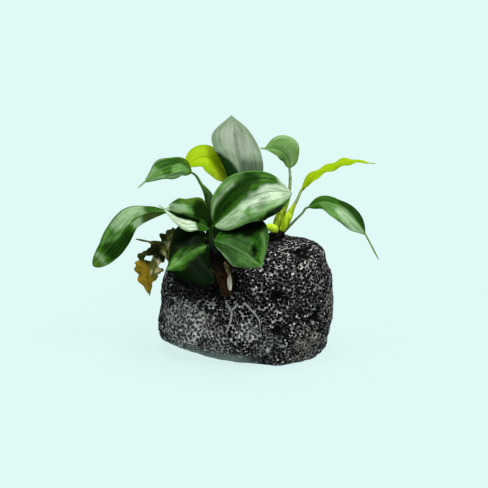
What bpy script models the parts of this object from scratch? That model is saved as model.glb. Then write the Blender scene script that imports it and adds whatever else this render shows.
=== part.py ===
"""Anubias on stone: a small water plant whose creeping rhizome holds on to a pitted stone.

Metres, +Z up. The origin is the middle of the stone's flat base and the front of the plant
faces -Y. Sizes below are in millimetres and become metres when a mesh is written.
"""

from dataclasses import dataclass
from math import cos, pi, radians, sin

import bpy
import numpy as np
from mathutils import Vector, noise
from mathutils.bvhtree import BVHTree

for old in list(bpy.data.objects):
    bpy.data.objects.remove(old, do_unlink=True)

MM = 0.001

# ---------------------------------------------------------------- driving dimensions, in mm
STONE_MIDDLE = np.array((0.0, 0.0, 40.0))  # the stone's shape is measured outwards from here
STONE_GRID = 24  # squares along each side of the ball that becomes the stone
STONE_CRISPNESS = 9  # how sharply its broken faces meet
STONE_BASE_CRISPNESS = 27  # and how sharply they meet its base
LUMP_HEIGHT = 1.6
LUMP_PITCH = 17.0
FINE_LUMP_HEIGHT = 0.5  # of the second, finer lumps, against the first
FINE_LUMP_CLOSENESS = 2.1
CAVITY_ROUNDNESS = 1.5  # higher makes a cavity's rim softer
PIT_SPACING = 8.6  # at least, between the bottoms of the stone's pits
PIT_DEPTHS = (1.4, 3.0)  # shallowest and deepest
RIDGE_UNEVENNESS = 0.9  # how deep the lowest ridge between the pits lies
PIT_LOWEST = 5.0  # height above the base below which the stone has no pits
PIT_SEED = 3
BLADE_THICKNESS = 0.9
BLADE_ROWS = 11
BLADE_COLUMNS = 4
DRIP_TIP_HALF_WIDTH = 0.6
BASE_WIDTH = 0.55  # a blade's half width at its base, against that at its first fifth
BASE_ROUNDING = 0.15  # the share of a blade over which its base is rounded off
OUTLINE_LENGTH = 100.0  # nominal length along which a blade's half widths are joined smoothly
HEADING_STEP = 0.01  # share of the midrib to each side over which its direction is read
PETIOLE_RADII = (0.9, 1.2, 1.2, 1.4)  # from the blade to the rhizome
PETIOLE_LEAD_IN = 2.0  # the length over which a petiole runs on in line with its midrib
SHORT_LEAD_IN = 1.0  # the same where a petiole turns down right behind its blade
BENT_PETIOLE_RADII = (0.6, 0.8, 1.1, 1.3)  # thin enough at the top for that turn
THIN_PETIOLE_RADII = (0.6, 0.8, 0.8, 0.9)
SHEATHED_PETIOLE_RADII = (0.9, 1.1, 2.2, 2.8, 2.2)
ROOT_RADII = (0.9, 0.9, 0.55)  # from its start to its tip
CLEARANCE = 0.3  # between pieces that touch
ROOT_HEIGHT = 1.5  # of a root's middle above the stone
TUBE_RINGS = 9  # cross-sections along a stem
PETIOLE_RINGS = 11
STEM_SIDES = 6
SHOOT_SIDES = 8
RHIZOME_SIDES = 12
BLADE_ROUGHNESS = 0.3
STEM_ROUGHNESS = 0.5
STONE_ROUGHNESS = 0.9

# ---------------------------------------------------------------- colours: red, green, blue
DARK_GREEN = (0.035, 0.14, 0.02)
GREY_GREEN = (0.16, 0.25, 0.13)
PALE_GREEN = (0.30, 0.48, 0.18)
LIME = (0.55, 0.75, 0.06)
OLIVE = (0.20, 0.19, 0.05)
AMBER = (0.42, 0.28, 0.06)
STEM_GREEN = (0.16, 0.26, 0.06)
BROWN = (0.13, 0.05, 0.03)
TAN = (0.55, 0.42, 0.28)
ROOT_GREY = (0.22, 0.22, 0.20)
STONE_BLACK = (0.035, 0.035, 0.037)


# ---------------------------------------------------------------- helpers
def unit(v):
    return v / np.maximum(np.linalg.norm(v, axis=-1, keepdims=True), 1e-12)


def smooth_curve(points, shares):
    """A smooth curve through the points, read at shares 0 to 1 of its chord length."""
    points = np.array(points, float)
    steps = np.linalg.norm(np.diff(points, axis=0), axis=1)
    at = np.concatenate(([0], np.cumsum(steps))) / steps.sum()
    slopes = np.gradient(points, at, axis=0)
    shares = np.clip(np.atleast_1d(shares), 0, 1)
    i = np.clip(np.searchsorted(at, shares, side="right") - 1, 0, len(at) - 2)
    span = (at[i + 1] - at[i])[:, None]
    u = ((shares - at[i])[:, None]) / span
    return (
        (2 * u**3 - 3 * u**2 + 1) * points[i]
        + (u**3 - 2 * u**2 + u) * span * slopes[i]
        + (3 * u**2 - 2 * u**3) * points[i + 1]
        + (u**3 - u**2) * span * slopes[i + 1]
    )


def material(name, colour, roughness):
    made = bpy.data.materials.new(name)
    made.use_nodes = True
    shader = made.node_tree.nodes["Principled BSDF"]
    shader.inputs["Base Color"].default_value = (*colour, 1)
    shader.inputs["Roughness"].default_value = roughness
    return made


def add_mesh(name, points, faces, colour, roughness):
    """One smooth-shaded object from points in mm."""
    mesh = bpy.data.meshes.new(name)
    mesh.from_pydata([tuple(p * MM) for p in points], [], faces)
    mesh.validate()
    mesh.shade_smooth()
    mesh.materials.append(material(name, colour, roughness))
    made = bpy.data.objects.new(name, mesh)
    bpy.context.collection.objects.link(made)
    return made


def add_tube(name, route, radii, colour, sides=STEM_SIDES, count=TUBE_RINGS):
    """A round stem along a smooth route in mm, with its radius given along the way."""
    shares = np.linspace(0, 1, count)
    widths = np.interp(shares, np.linspace(0, 1, len(radii)), radii)
    curve = bpy.data.curves.new(name, "CURVE")
    curve.dimensions = "3D"
    curve.bevel_depth = MM
    curve.bevel_resolution = (sides - 4) // 2
    curve.use_fill_caps = True
    spline = curve.splines.new("POLY")
    spline.points.add(count - 1)
    for point, place, width in zip(spline.points, smooth_curve(route, shares), widths):
        point.co = (*(place * MM), 1)
        point.radius = width
    curve.materials.append(material(name, colour, STEM_ROUGHNESS))
    made = bpy.data.objects.new(name, curve)
    bpy.context.collection.objects.link(made)
    return made


# ---------------------------------------------------------------- the stone
# Its broken faces: compass direction in degrees from +X towards +Y, slope above the
# horizontal in degrees, and distance from the stone's middle in mm.
STONE_FACES = (
    (180, 7, 57),
    (150, 40, 53),
    (215, 4, 55),
    (255, 8, 39),
    (285, 2, 43),
    (318, 4, 52),
    (0, -4, 60),
    (25, 10, 58),
    (95, 22, 41),
    (80, -12, 46),
    (50, 30, 52),
    (130, 4, 52),
    (0, 40, 62),
    (265, 60, 38),
    (165, 84, 33),
    (250, -50, 48.5),
    (295, -38, 60),
    (335, -30, 62.5),
    (186, -80, 45),
)
STONE_BOTTOM = 42.0  # a little below the base, which is then cut flat

# Its large cavities: a point near the middle of each in mm, its radius and its depth.
STONE_CAVITIES = (
    ((34, -14, 68), 8, 6),
    ((42, -26, 26), 9, 6.5),
    ((24, -38, 42), 7, 5),
    ((18, -40, 10), 7.5, 5),
    ((-34, -36, 34), 8, 4),
    ((-50, -8, 22), 8, 4.5),
    ((2, -38, 24), 7, 3.5),
    ((50, 4, 44), 9, 5.5),
    ((52, 10, 14), 8, 4),
    ((30, 40, 44), 10, 6),
    ((6, 42, 22), 9, 4.5),
    ((-24, 42, 40), 9, 5.5),
    ((-46, 24, 18), 9, 5),
    ((-46, 18, 56), 9, 5),
    ((4, 22, 76), 9, 5),
    ((-30, 2, 74), 8, 4),
)


def stone_radius(directions):
    """How far the stone reaches from its middle: a rounded lump with broken faces."""
    pull = np.zeros(len(directions))
    faces = [(radians(a), radians(e), d) for a, e, d in STONE_FACES]
    for around, slope, distance in faces:
        normal = np.array((cos(around) * cos(slope), sin(around) * cos(slope), sin(slope)))
        pull += np.maximum(directions @ normal / distance, 0) ** STONE_CRISPNESS
    pull += np.maximum(-directions[:, 2] / STONE_BOTTOM, 0) ** STONE_BASE_CRISPNESS
    return pull ** (-1 / STONE_CRISPNESS)


def stone_points(directions):
    """The stone's surface in the given directions, with its lumps, cavities and flat base but
    without its pits."""
    radii = stone_radius(directions)
    points = directions * radii[:, None] + STONE_MIDDLE
    lumps = np.array([noise.noise(Vector(p / LUMP_PITCH)) for p in points])
    fine = [noise.noise(Vector(p / LUMP_PITCH * FINE_LUMP_CLOSENESS)) for p in points]
    radii = radii + LUMP_HEIGHT * (lumps + FINE_LUMP_HEIGHT * np.array(fine))
    for centre, radius, depth in STONE_CAVITIES:
        towards = unit(np.array(centre) - STONE_MIDDLE)
        away = np.linalg.norm(directions - towards, axis=1) * radii
        radii = radii - depth * np.maximum(1 - (away / radius) ** 2, 0) ** CAVITY_ROUNDNESS
    points = directions * radii[:, None] + STONE_MIDDLE
    points[:, 2] = np.maximum(points[:, 2], 0)
    return points


def pit_depths(points):
    """How far each point of the stone is sunk: pits in no order, none too near another, with
    uneven ridges between them."""
    chance = np.random.default_rng(PIT_SEED)
    depths = chance.uniform(0, RIDGE_UNEVENNESS, len(points))
    pits = np.empty((0, 3))
    for i in chance.permutation(len(points)):
        clear = np.all(np.linalg.norm(pits - points[i], axis=1) > PIT_SPACING)
        if clear and points[i, 2] > PIT_LOWEST:
            pits = np.vstack((pits, points[i]))
            depths[i] = chance.uniform(*PIT_DEPTHS)
    return np.where(points[:, 2] > PIT_LOWEST, depths, 0.0)


def ball_grid(count):
    """An even grid of directions on a ball, as a cube's six sides blown up, and its faces."""
    places = {}
    directions, faces = [], []

    def corner(x, y, z):
        if (x, y, z) not in places:
            places[x, y, z] = len(directions)
            grid = np.array((x, y, z)) / count * 2 - 1
            directions.append(unit(np.tan(grid * pi / 4)))
        return places[x, y, z]

    for axis in range(3):
        for side in (0, count):
            for i in range(count):
                for j in range(count):
                    ring = [(i, j), (i + 1, j), (i + 1, j + 1), (i, j + 1)]
                    if side == 0:
                        ring.reverse()
                    spots = [np.roll((side, a, b), axis) for a, b in ring]
                    faces.append([corner(*(int(v) for v in spot)) for spot in spots])
    return np.array(directions), faces


def add_stone():
    """Builds the pitted stone and returns its surface without pits, in mm, for the roots."""
    directions, faces = ball_grid(STONE_GRID)
    points = stone_points(directions)
    pitted = points - directions * pit_depths(points)[:, None]
    add_mesh("stone", pitted, faces, STONE_BLACK, STONE_ROUGHNESS)
    return BVHTree.FromPolygons(points.tolist(), faces)


# ---------------------------------------------------------------- leaves
@dataclass
class Leaf:
    """A blade along its midrib, seen with its upper side up and its tip ahead."""

    midrib: tuple  # points from base to tip, mm
    face: tuple  # directions that the upper side looks in, from base to tip
    left: tuple  # half widths at 1/5, 2/5, 3/5 and 4/5 of the blade, mm
    right: tuple
    fold: tuple = (8, 8)  # how far each half rises from flat at the midrib, degrees
    tail: float = 0.0  # the share of the midrib's length that is a thin drip tip
    colour: tuple = DARK_GREEN
    petiole: tuple = ()  # points of its stalk from the blade down to the rhizome, mm
    petiole_radii: tuple = PETIOLE_RADII
    lead_in: float = PETIOLE_LEAD_IN


LEAVES = {
    "top": Leaf(
        midrib=((-4, 0, 106), (-5, 3, 120), (-7, 11, 134), (-10, 24, 151)),
        face=((0, -1, 0.3), (0, -1, 0.4)),
        left=(8, 10.5, 14.5, 14),
        right=(15, 15.5, 13, 8),
        fold=(8, 12),
        colour=GREY_GREEN,
        petiole=((-4, -9, 96), (-3, -19, 89), (-2, -24.5, 80.6)),
    ),
    "lime_left": Leaf(
        midrib=((-12, 8, 111), (-17, 12, 120), (-27, 15, 125), (-41, 11, 120)),
        face=((-0.2, -0.6, 0.8),),
        left=(7, 8, 8, 6),
        right=(7, 8, 9, 8),
        fold=(0, 15),
        colour=LIME,
        petiole=((-14, -2, 103), (-18, -16, 97), (-19, -29, 91), (-18.5, -33.5, 84)),
    ),
    "upper_left": Leaf(
        midrib=((-35, -4, 120), (-42, -7, 125), (-52, -11, 124), (-68, -18, 113)),
        face=((0, -0.6, 0.8), (-0.2, -0.7, 0.7)),
        left=(8, 11, 10.5, 6),
        right=(6, 6.5, 5.5, 2.2),
        fold=(5, 5),
        tail=0.12,
        petiole=((-29, -11, 114), (-24, -20, 108), (-22.5, -28, 97), (-22, -32.5, 84)),
    ),
    "far_left": Leaf(
        midrib=((-50, -26, 100), (-60, -30, 100), (-71, -34, 97), (-80, -37, 86), (-95, -38, 68)),
        face=((-0.1, -0.5, 0.85), (-0.3, -0.85, 0.4), (-0.3, -0.9, 0.3)),
        left=(5.5, 7.5, 9, 8.5),
        right=(6, 9, 9.8, 6.3),
        fold=(5, 0),
        petiole=((-43, -26, 98), (-34, -29, 94), (-27, -32, 89), (-25.2, -34, 84)),
    ),
    "middle_left": Leaf(
        midrib=((-24, -38, 92), (-32, -44, 98), (-42, -52, 103), (-53, -60, 112)),
        face=((0, -0.6, 0.8), (0, -0.5, 0.85)),
        left=(9, 12, 13, 9),
        right=(17, 15, 12, 7),
        fold=(0, 20),
        tail=0.1,
        petiole=((-23, -37.3, 88), (-24.5, -37.5, 84)),
    ),
    "centre": Leaf(
        midrib=((-20, -42, 95), (-10, -45, 104.5), (1, -47.5, 112.5), (13, -50.5, 118), (27, -54.5, 118.5)),
        face=((0, -0.8, 0.6), (0.1, -0.8, 0.6)),
        left=(13.5, 18.5, 15.5, 9),
        right=(11.5, 15, 19, 19.5),
        fold=(5, 15),
        petiole=((-22, -41, 89), (-21.5, -40, 84)),
    ),
    "lower": Leaf(
        midrib=((-20, -47, 87), (-12, -52, 86), (-3, -58, 83), (9, -64, 75)),
        face=((-0.1, -0.8, 0.55), (-0.1, -0.9, 0.3)),
        left=(15, 19, 20, 15),
        right=(6, 9, 10.5, 7),
        fold=(5, 5),
        petiole=((-21.8, -45.9, 85.4), (-20.4, -44.9, 81.5), (-19.3, -44.3, 78.5)),
        petiole_radii=BENT_PETIOLE_RADII,
        lead_in=SHORT_LEAD_IN,
    ),
    "lower_left": Leaf(
        midrib=((-25, -45.5, 83), (-31, -49, 82), (-38, -53, 78), (-49, -58, 71)),
        face=((-0.3, -0.8, 0.5), (-0.3, -0.9, 0.3)),
        left=(17, 23, 22, 14),
        right=(14, 16, 14, 8),
        fold=(-5, 10),
        petiole=((-23.2, -44.5, 81.8), (-23.9, -44, 78.5), (-24.8, -43.6, 75)),
        petiole_radii=BENT_PETIOLE_RADII,
        lead_in=SHORT_LEAD_IN,
    ),
    "withered_inner": Leaf(
        midrib=((-40, -20, 85), (-45, -24, 83), (-48, -28, 78), (-49, -31, 69)),
        face=((-0.4, -0.8, 0.4),),
        left=(5, 6, 5.5, 4),
        right=(5.5, 6, 4.5, 3),
        colour=OLIVE,
        petiole=((-34, -24, 84), (-29.2, -31, 81), (-26.4, -34, 76)),
        petiole_radii=THIN_PETIOLE_RADII,
    ),
    "withered_hanging": Leaf(
        midrib=((-54, -18, 77), (-58, -22, 71), (-62, -26, 62), (-61, -28, 46)),
        face=((-0.4, -0.85, 0.2),),
        left=(8, 11, 7, 3.5),
        right=(6, 8, 7, 3.5),
        fold=(20, 20),
        colour=AMBER,
        petiole=((-45, -19, 79), (-34, -25, 76), (-28, -32, 71), (-24, -36.5, 68)),
        petiole_radii=THIN_PETIOLE_RADII,
    ),
    "withered_upper": Leaf(
        midrib=((-48, -13, 73), (-56, -14, 75.5), (-62, -15, 77.5), (-70, -16, 79.5)),
        face=((0, -0.8, 0.6),),
        left=(4, 4, 3, 1.5),
        right=(2, 2.5, 2, 1),
        tail=0.3,
        colour=OLIVE,
        petiole=((-38, -18, 72), (-28, -28, 68), (-21, -35, 64)),
        petiole_radii=THIN_PETIOLE_RADII,
    ),
    "right_small": Leaf(
        midrib=((27, 12, 119), (26, 12, 125), (22, 10, 130), (8.2, 6.9, 133)),
        face=((-0.1, -0.9, 0.3), (-0.3, -0.8, 0.5)),
        left=(3, 4, 4, 3),
        right=(6.5, 11, 10.5, 7),
        fold=(15, 5),
        tail=0.2,
        colour=PALE_GREEN,
        petiole=((27.5, 9, 111), (25.5, 3, 99), (20.6, -1, 90), (17.9, -4.4, 82.6)),
    ),
    "right_lime": Leaf(
        midrib=((35, 5, 107), (41, 7, 114.5), (50, 9, 119), (63, 11, 123.5), (82, 14, 121.5)),
        face=((-0.3, -0.25, 0.92),),
        left=(4, 5, 5, 4),
        right=(7, 9, 10, 6.5),
        fold=(5, 5),
        tail=0.1,
        colour=LIME,
        petiole=((33, 4, 102.5), (29, 1, 95.5), (25.8, -1, 89.5), (21.9, -2.2, 82.6)),
        petiole_radii=SHEATHED_PETIOLE_RADII,
    ),
    "right_hanging": Leaf(
        midrib=((39, -6, 98), (48, -8, 101.5), (58, -10, 98.5), (70, -13, 88), (83, -15, 66)),
        face=((0.1, -0.65, 0.75), (0.4, -0.7, 0.6)),
        left=(4.5, 5, 6.5, 5),
        right=(5.5, 7.5, 8.5, 7.5),
        fold=(5, 5),
        tail=0.28,
        petiole=((35, -5.5, 92.5), (30.5, -4.5, 86.8), (27.8, -2.3, 82.8), (24.3, -1.0, 79.2)),
    ),
}


def half_width(leaf, side, shares):
    """The blade's half width along its midrib: round at the base and running to the tip."""
    body = 1 - leaf.tail
    along = np.clip(shares / body, 0, 1)
    stations = np.linspace(0, 1, len(side) + 2)
    widths = np.array((BASE_WIDTH * side[0], *side, 0.0))
    outline = np.stack((stations * OUTLINE_LENGTH, widths), axis=1)
    profile = smooth_curve(outline, along)[:, 1]
    rounding = np.sqrt(1 - (1 - np.clip(along / BASE_ROUNDING, 0, 1)) ** 2)
    return np.maximum(profile * rounding, DRIP_TIP_HALF_WIDTH)


def blade_surface(leaf, rows, columns):
    """The blade's middle surface as a grid of points, from base to tip and left to right."""
    shares = np.linspace(0, 1, rows + 1)
    middle = smooth_curve(leaf.midrib, shares)
    before = smooth_curve(leaf.midrib, shares - HEADING_STEP)
    ahead = unit(smooth_curve(leaf.midrib, shares + HEADING_STEP) - before)
    faces = np.array(leaf.face, float)
    turns = np.linspace(0, 1, len(faces))
    up = np.stack([np.interp(shares, turns, faces[:, k]) for k in range(3)], axis=1)
    up = unit(up - np.sum(up * ahead, axis=1, keepdims=True) * ahead)
    across = np.cross(ahead, up)
    surface = []
    for place in np.linspace(-1, 1, columns + 1):
        side = 1 if place > 0 else 0
        width = half_width(leaf, leaf.right if side else leaf.left, shares) * abs(place)
        lean = radians(leaf.fold[side])
        out = across * (np.sign(place) * cos(lean)) + up * sin(lean)
        surface.append(middle + out * width[:, None])
    return np.stack(surface, axis=1)


def sheet_solid(surface, thickness):
    """A closed sheet of even thickness about a grid of points: its points and faces."""
    along = np.gradient(surface, axis=0)
    over = np.gradient(surface, axis=1)
    normals = unit(np.cross(over, along))
    rows, columns = surface.shape[:2]
    points = np.concatenate((surface + normals * thickness / 2, surface - normals * thickness / 2))
    points = points.reshape(-1, 3)
    below = rows * columns
    spot = np.arange(below).reshape(rows, columns)
    faces = []
    for i in range(rows - 1):
        for j in range(columns - 1):
            ring = [spot[i, j], spot[i, j + 1], spot[i + 1, j + 1], spot[i + 1, j]]
            faces.append([int(v) for v in ring])
            faces.append([int(v) + below for v in reversed(ring)])
    rim = [*spot[0], *spot[1:, -1], *spot[-1, -2::-1], *spot[-2:0:-1, 0]]
    for a, b in zip(rim, rim[1:] + rim[:1]):
        faces.append([int(b), int(a), int(a) + below, int(b) + below])
    return points, faces


def add_blade(name, leaf):
    surface = blade_surface(leaf, BLADE_ROWS, BLADE_COLUMNS)
    points, faces = sheet_solid(surface, BLADE_THICKNESS)
    return add_mesh(f"leaf_{name}", points, faces, leaf.colour, BLADE_ROUGHNESS)


# ---------------------------------------------------------------- rhizome, roots and stalks
# The creeping stem: its old end hangs in front of the stone, it climbs to the left tuft of
# leaves and sends one branch over the stone's top to the right tuft. Each is a route in mm
# and the radii along it.
RHIZOMES = {
    "rhizome": (
        ((-12.5, -42, 51.5), (-13.5, -41, 60), (-17, -39, 70), (-21, -37, 78), (-21.5, -36.5, 83)),
        (5.0, 5.8, 5.8, 5.6, 5.2),
    ),
    "rhizome_branch": (
        ((-13.4, -34.6, 74), (-7, -28, 75), (1, -20, 76), (9, -12, 77.6), (16, -5.5, 78.6), (22, -2, 79)),
        (3.8, 4.2, 4.2, 3.6, 3.0, 2.7),
    ),
}


def add_rhizomes():
    for name, (route, radii) in RHIZOMES.items():
        add_tube(name, route, radii, BROWN, sides=RHIZOME_SIDES)


def add_petiole(name, leaf):
    base = np.array(leaf.midrib[0], float)
    ahead = unit(smooth_curve(leaf.midrib, 2 * HEADING_STEP)[0] - base)
    top = base - ahead * 2 * CLEARANCE
    route = (top, top - ahead * leaf.lead_in, *leaf.petiole)
    add_tube(f"petiole_{name}", route, leaf.petiole_radii, STEM_GREEN, count=PETIOLE_RINGS)


# Roots that creep down the stone's front and bridge its pits. Each is laid on the stone at
# these points, in mm, and runs smoothly from one to the next.
ROOTS = {
    "root_left": ((-15, -46, 47), (-13, -46, 43), (-12, -46, 38), (-13, -46, 30), (-15, -46, 22)),
    "root_middle": ((-8, -46, 46), (-9, -46, 42)),
    "root_right": ((-4, -46, 46), (2, -46, 40), (7, -46, 34), (9, -46, 29)),
}


def add_roots(stone_surface):
    for name, route in ROOTS.items():
        clinging = []
        for point in route:
            place, normal, _, _ = stone_surface.find_nearest(Vector(point))
            clinging.append(np.array(place + normal * ROOT_HEIGHT))
        add_tube(name, clinging, ROOT_RADII, ROOT_GREY)


def add_root_stub():
    """A pale root that hangs, broken off, before the old end of the rhizome."""
    route = ((-11.5, -46.5, 71), (-10.2, -47.5, 69), (-9.4, -48, 64), (-9.6, -48, 60), (-9.4, -47.7, 56))
    add_tube("root_stub", route, (1.2, 1.6, 1.2, 1.7, 1.2), TAN)


def add_shoot():
    """The plump young shoot that grows from the right tuft towards the middle."""
    route = ((16.3, -9.5, 81.8), (17, -11, 84.5), (15, -12.5, 87), (11, -13, 88.5))
    add_tube("shoot", route, (1.6, 3.0, 3.4, 1.4), LIME, sides=SHOOT_SIDES)


# ---------------------------------------------------------------- build
stone_surface = add_stone()
add_rhizomes()
for leaf_name, leaf in LEAVES.items():
    add_blade(leaf_name, leaf)
    add_petiole(leaf_name, leaf)
add_roots(stone_surface)
add_root_stub()
add_shoot()
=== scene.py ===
"""Anubias on stone: the fine surface of the plant and of its porous stone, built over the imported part.

Sizes are in millimetres until a mesh is written. +Z is up, the front of the plant faces -Y.
"""

from dataclasses import dataclass
from itertools import product
from math import cos, pi, radians, sin

import bmesh
import bpy
import numpy as np
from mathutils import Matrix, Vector, noise
from mathutils.bvhtree import BVHTree
from mathutils.kdtree import KDTree


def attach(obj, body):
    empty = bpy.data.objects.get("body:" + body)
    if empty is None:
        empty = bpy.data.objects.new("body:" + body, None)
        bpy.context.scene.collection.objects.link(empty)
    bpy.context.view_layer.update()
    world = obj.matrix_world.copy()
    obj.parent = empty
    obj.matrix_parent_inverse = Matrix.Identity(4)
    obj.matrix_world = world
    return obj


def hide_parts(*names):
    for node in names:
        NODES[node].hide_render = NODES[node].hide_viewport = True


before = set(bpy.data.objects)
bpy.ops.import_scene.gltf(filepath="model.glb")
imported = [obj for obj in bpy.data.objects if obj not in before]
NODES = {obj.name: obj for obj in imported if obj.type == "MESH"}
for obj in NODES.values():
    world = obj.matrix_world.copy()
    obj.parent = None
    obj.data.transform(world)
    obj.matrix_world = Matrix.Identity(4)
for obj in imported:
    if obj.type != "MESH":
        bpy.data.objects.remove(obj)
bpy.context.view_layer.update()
MM = 0.001


def unit(v):
    return v / np.maximum(np.linalg.norm(v, axis=-1, keepdims=True), 1e-12)


def smoothstep(low, high, x):
    share = np.clip((x - low) / (high - low), 0, 1)
    return share * share * (3 - 2 * share)


def smooth_curve(points, shares):
    """A smooth curve through the points, read at shares 0 to 1 of its chord length."""
    points = np.array(points, float)
    steps = np.linalg.norm(np.diff(points, axis=0), axis=1)
    at = np.concatenate(([0], np.cumsum(steps))) / steps.sum()
    slopes = np.gradient(points, at, axis=0)
    shares = np.clip(np.atleast_1d(shares), 0, 1)
    i = np.clip(np.searchsorted(at, shares, side="right") - 1, 0, len(at) - 2)
    span = (at[i + 1] - at[i])[:, None]
    u = ((shares - at[i])[:, None]) / span
    return (
        (2 * u**3 - 3 * u**2 + 1) * points[i]
        + (u**3 - 2 * u**2 + u) * span * slopes[i]
        + (3 * u**2 - 2 * u**3) * points[i + 1]
        + (u**3 - u**2) * span * slopes[i + 1]
    )


def noise_at(points, pitch, seed=0.0):
    """Smooth noise, about -1 to 1, at points in mm."""
    shift = Vector((seed, -seed, 2 * seed))
    return np.array([noise.noise(Vector(p) / pitch + shift) for p in points])


def add_object(name, data):
    """A new object in the scene."""
    thing = bpy.data.objects.new(name, data)
    bpy.context.scene.collection.objects.link(thing)
    return thing


def add_piece(name, points, faces, material, replaces, attributes, vectors=None):
    """One smooth-shaded piece from points in mm. It rides on the plant's one body."""
    mesh = bpy.data.meshes.new(name)
    mesh.from_pydata((points * MM).tolist(), [], faces)
    mesh.shade_smooth()
    mesh.materials.append(material)
    for key, values in attributes.items():
        layer = mesh.attributes.new(key, "FLOAT", "POINT")
        layer.data.foreach_set("value", np.asarray(values, np.float32))
    for key, values in (vectors or {}).items():
        layer = mesh.attributes.new(key, "FLOAT_VECTOR", "POINT")
        layer.data.foreach_set("vector", np.asarray(values, np.float32).ravel())
    piece = add_object(name, mesh)
    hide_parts(*replaces)
    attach(piece, "root")


# ---------------------------------------------------------------- materials
UNITLESS = 1 / MM  # the pitch of noise whose lumps are 1 across in its place's own units


class Shader:
    """A material's node tree, written down as a few short calls."""

    def __init__(self, name):
        self.material = bpy.data.materials.new(name)
        self.material.use_nodes = True
        self.tree = self.material.node_tree
        self.principled = self.tree.nodes["Principled BSDF"]
        self.place = self.tree.nodes.new("ShaderNodeTexCoord").outputs["Object"]

    def link(self, source, socket):
        self.tree.links.new(source, socket)

    def feed(self, socket, value):
        """Sets a socket to a number or colour, or links another node's output to it."""
        if isinstance(value, bpy.types.NodeSocket):
            self.link(value, socket)
        elif isinstance(value, tuple) and len(value) == 3 and socket.type == "RGBA":
            socket.default_value = (*value, 1)
        else:
            socket.default_value = value

    def attribute(self, name, output="Fac"):
        node = self.tree.nodes.new("ShaderNodeAttribute")
        node.attribute_name = name
        return node.outputs[output]

    def parts(self, vector):
        """A vector's three numbers."""
        node = self.tree.nodes.new("ShaderNodeSeparateXYZ")
        self.link(vector, node.inputs[0])
        return node.outputs

    def stretched(self, place, scale):
        """A place with its axes scaled, which draws the noise on it out."""
        node = self.tree.nodes.new("ShaderNodeMapping")
        node.inputs["Scale"].default_value = scale
        self.link(place, node.inputs["Vector"])
        return node.outputs["Vector"]

    def noise(self, pitch, detail=2.0, roughness=0.5, place=None):
        """Noise from 0 to 1 whose lumps are about pitch mm across."""
        node = self.tree.nodes.new("ShaderNodeTexNoise")
        self.link(place or self.place, node.inputs["Vector"])
        node.inputs["Scale"].default_value = 1 / (pitch * MM)
        node.inputs["Detail"].default_value = detail
        node.inputs["Roughness"].default_value = roughness
        return node.outputs["Fac"]

    def cells(self, pitch):
        """Distance from the nearest of many scattered points, pitch mm apart."""
        node = self.tree.nodes.new("ShaderNodeTexVoronoi")
        self.link(self.place, node.inputs["Vector"])
        node.inputs["Scale"].default_value = 1 / (pitch * MM)
        return node.outputs["Distance"]

    def math(self, kind, a, b=0.0):
        node = self.tree.nodes.new("ShaderNodeMath")
        node.operation = kind
        self.feed(node.inputs[0], a)
        self.feed(node.inputs[1], b)
        return node.outputs[0]

    def times(self, a, b):
        return self.math("MULTIPLY", a, b)

    def span(self, value, low, high, to_low=0.0, to_high=1.0):
        """value from low..high mapped smoothly to to_low..to_high."""
        node = self.tree.nodes.new("ShaderNodeMapRange")
        node.interpolation_type = "SMOOTHSTEP"
        for socket, number in zip(node.inputs, (value, low, high, to_low, to_high)):
            self.feed(socket, number)
        return node.outputs["Result"]

    def mix(self, share, a, b):
        node = self.tree.nodes.new("ShaderNodeMix")
        node.data_type = "RGBA"
        self.feed(node.inputs["Factor"], share)
        self.feed(node.inputs["A"], a)
        self.feed(node.inputs["B"], b)
        return node.outputs["Result"]

    def bump(self, height, distance, strength):
        node = self.tree.nodes.new("ShaderNodeBump")
        self.feed(node.inputs["Height"], height)
        node.inputs["Distance"].default_value = distance * MM
        node.inputs["Strength"].default_value = strength
        self.link(node.outputs["Normal"], self.principled.inputs["Normal"])

    def finish(self, colour, roughness, **sockets):
        self.feed(self.principled.inputs["Base Color"], colour)
        self.feed(self.principled.inputs["Roughness"], roughness)
        for name, value in sockets.items():
            self.feed(self.principled.inputs[name.replace("_", " ")], value)
        return self.material


# Colours: red, green, blue
DEEP_GREEN = (0.006, 0.034, 0.0016)
MID_GREEN = (0.024, 0.086, 0.005)
LIGHT_GREEN = (0.110, 0.235, 0.065)
# painted light: the pale sheen of reflected light and the highlights on the blades
PAINTED_SHEEN = (0.40, 0.50, 0.37)
SHADE_GREEN = (0.0006, 0.0040, 0.0003)
UNDERSIDE = (0.09, 0.16, 0.05)
OLIVE_BROWN = (0.065, 0.095, 0.010)
BARK_DARK = (0.0045, 0.0020, 0.0012)
BARK_RED = (0.034, 0.012, 0.004)
BARK_SCAR = (0.045, 0.022, 0.012)
BARK_GREEN = (0.014, 0.022, 0.006)
BARK_SHADE = (0.0015, 0.0015, 0.001)
STONE_DARK = (0.004, 0.004, 0.0042)
STONE_GREY = (0.050, 0.049, 0.047)
STONE_DULL = (0.030, 0.030, 0.031)
STONE_GRAIN = (0.26, 0.256, 0.245)
STONE_SALT = ((0.062, 0.062, 0.060), (0.36, 0.36, 0.342))  # between and on the grains of a pale area
STONE_EARTH = (0.155, 0.142, 0.125)
STONE_SPECK = (0.58, 0.57, 0.54)
STONE_BAND_GREY = (0.150, 0.170, 0.165)
STONE_SHADE = (0.0015, 0.0018, 0.0015)
PIT_BLACK_AND_SHADE = (0.0015, 0.0015, 0.002)
PIT_PALE = (0.050, 0.050, 0.050)

# How strongly each of these tints a blade
VEIN_TINT = 0.22
RIB_TINT = 0.45
RIM_TINT = 0.45
UNDERSIDE_TINT = 0.6


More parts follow.
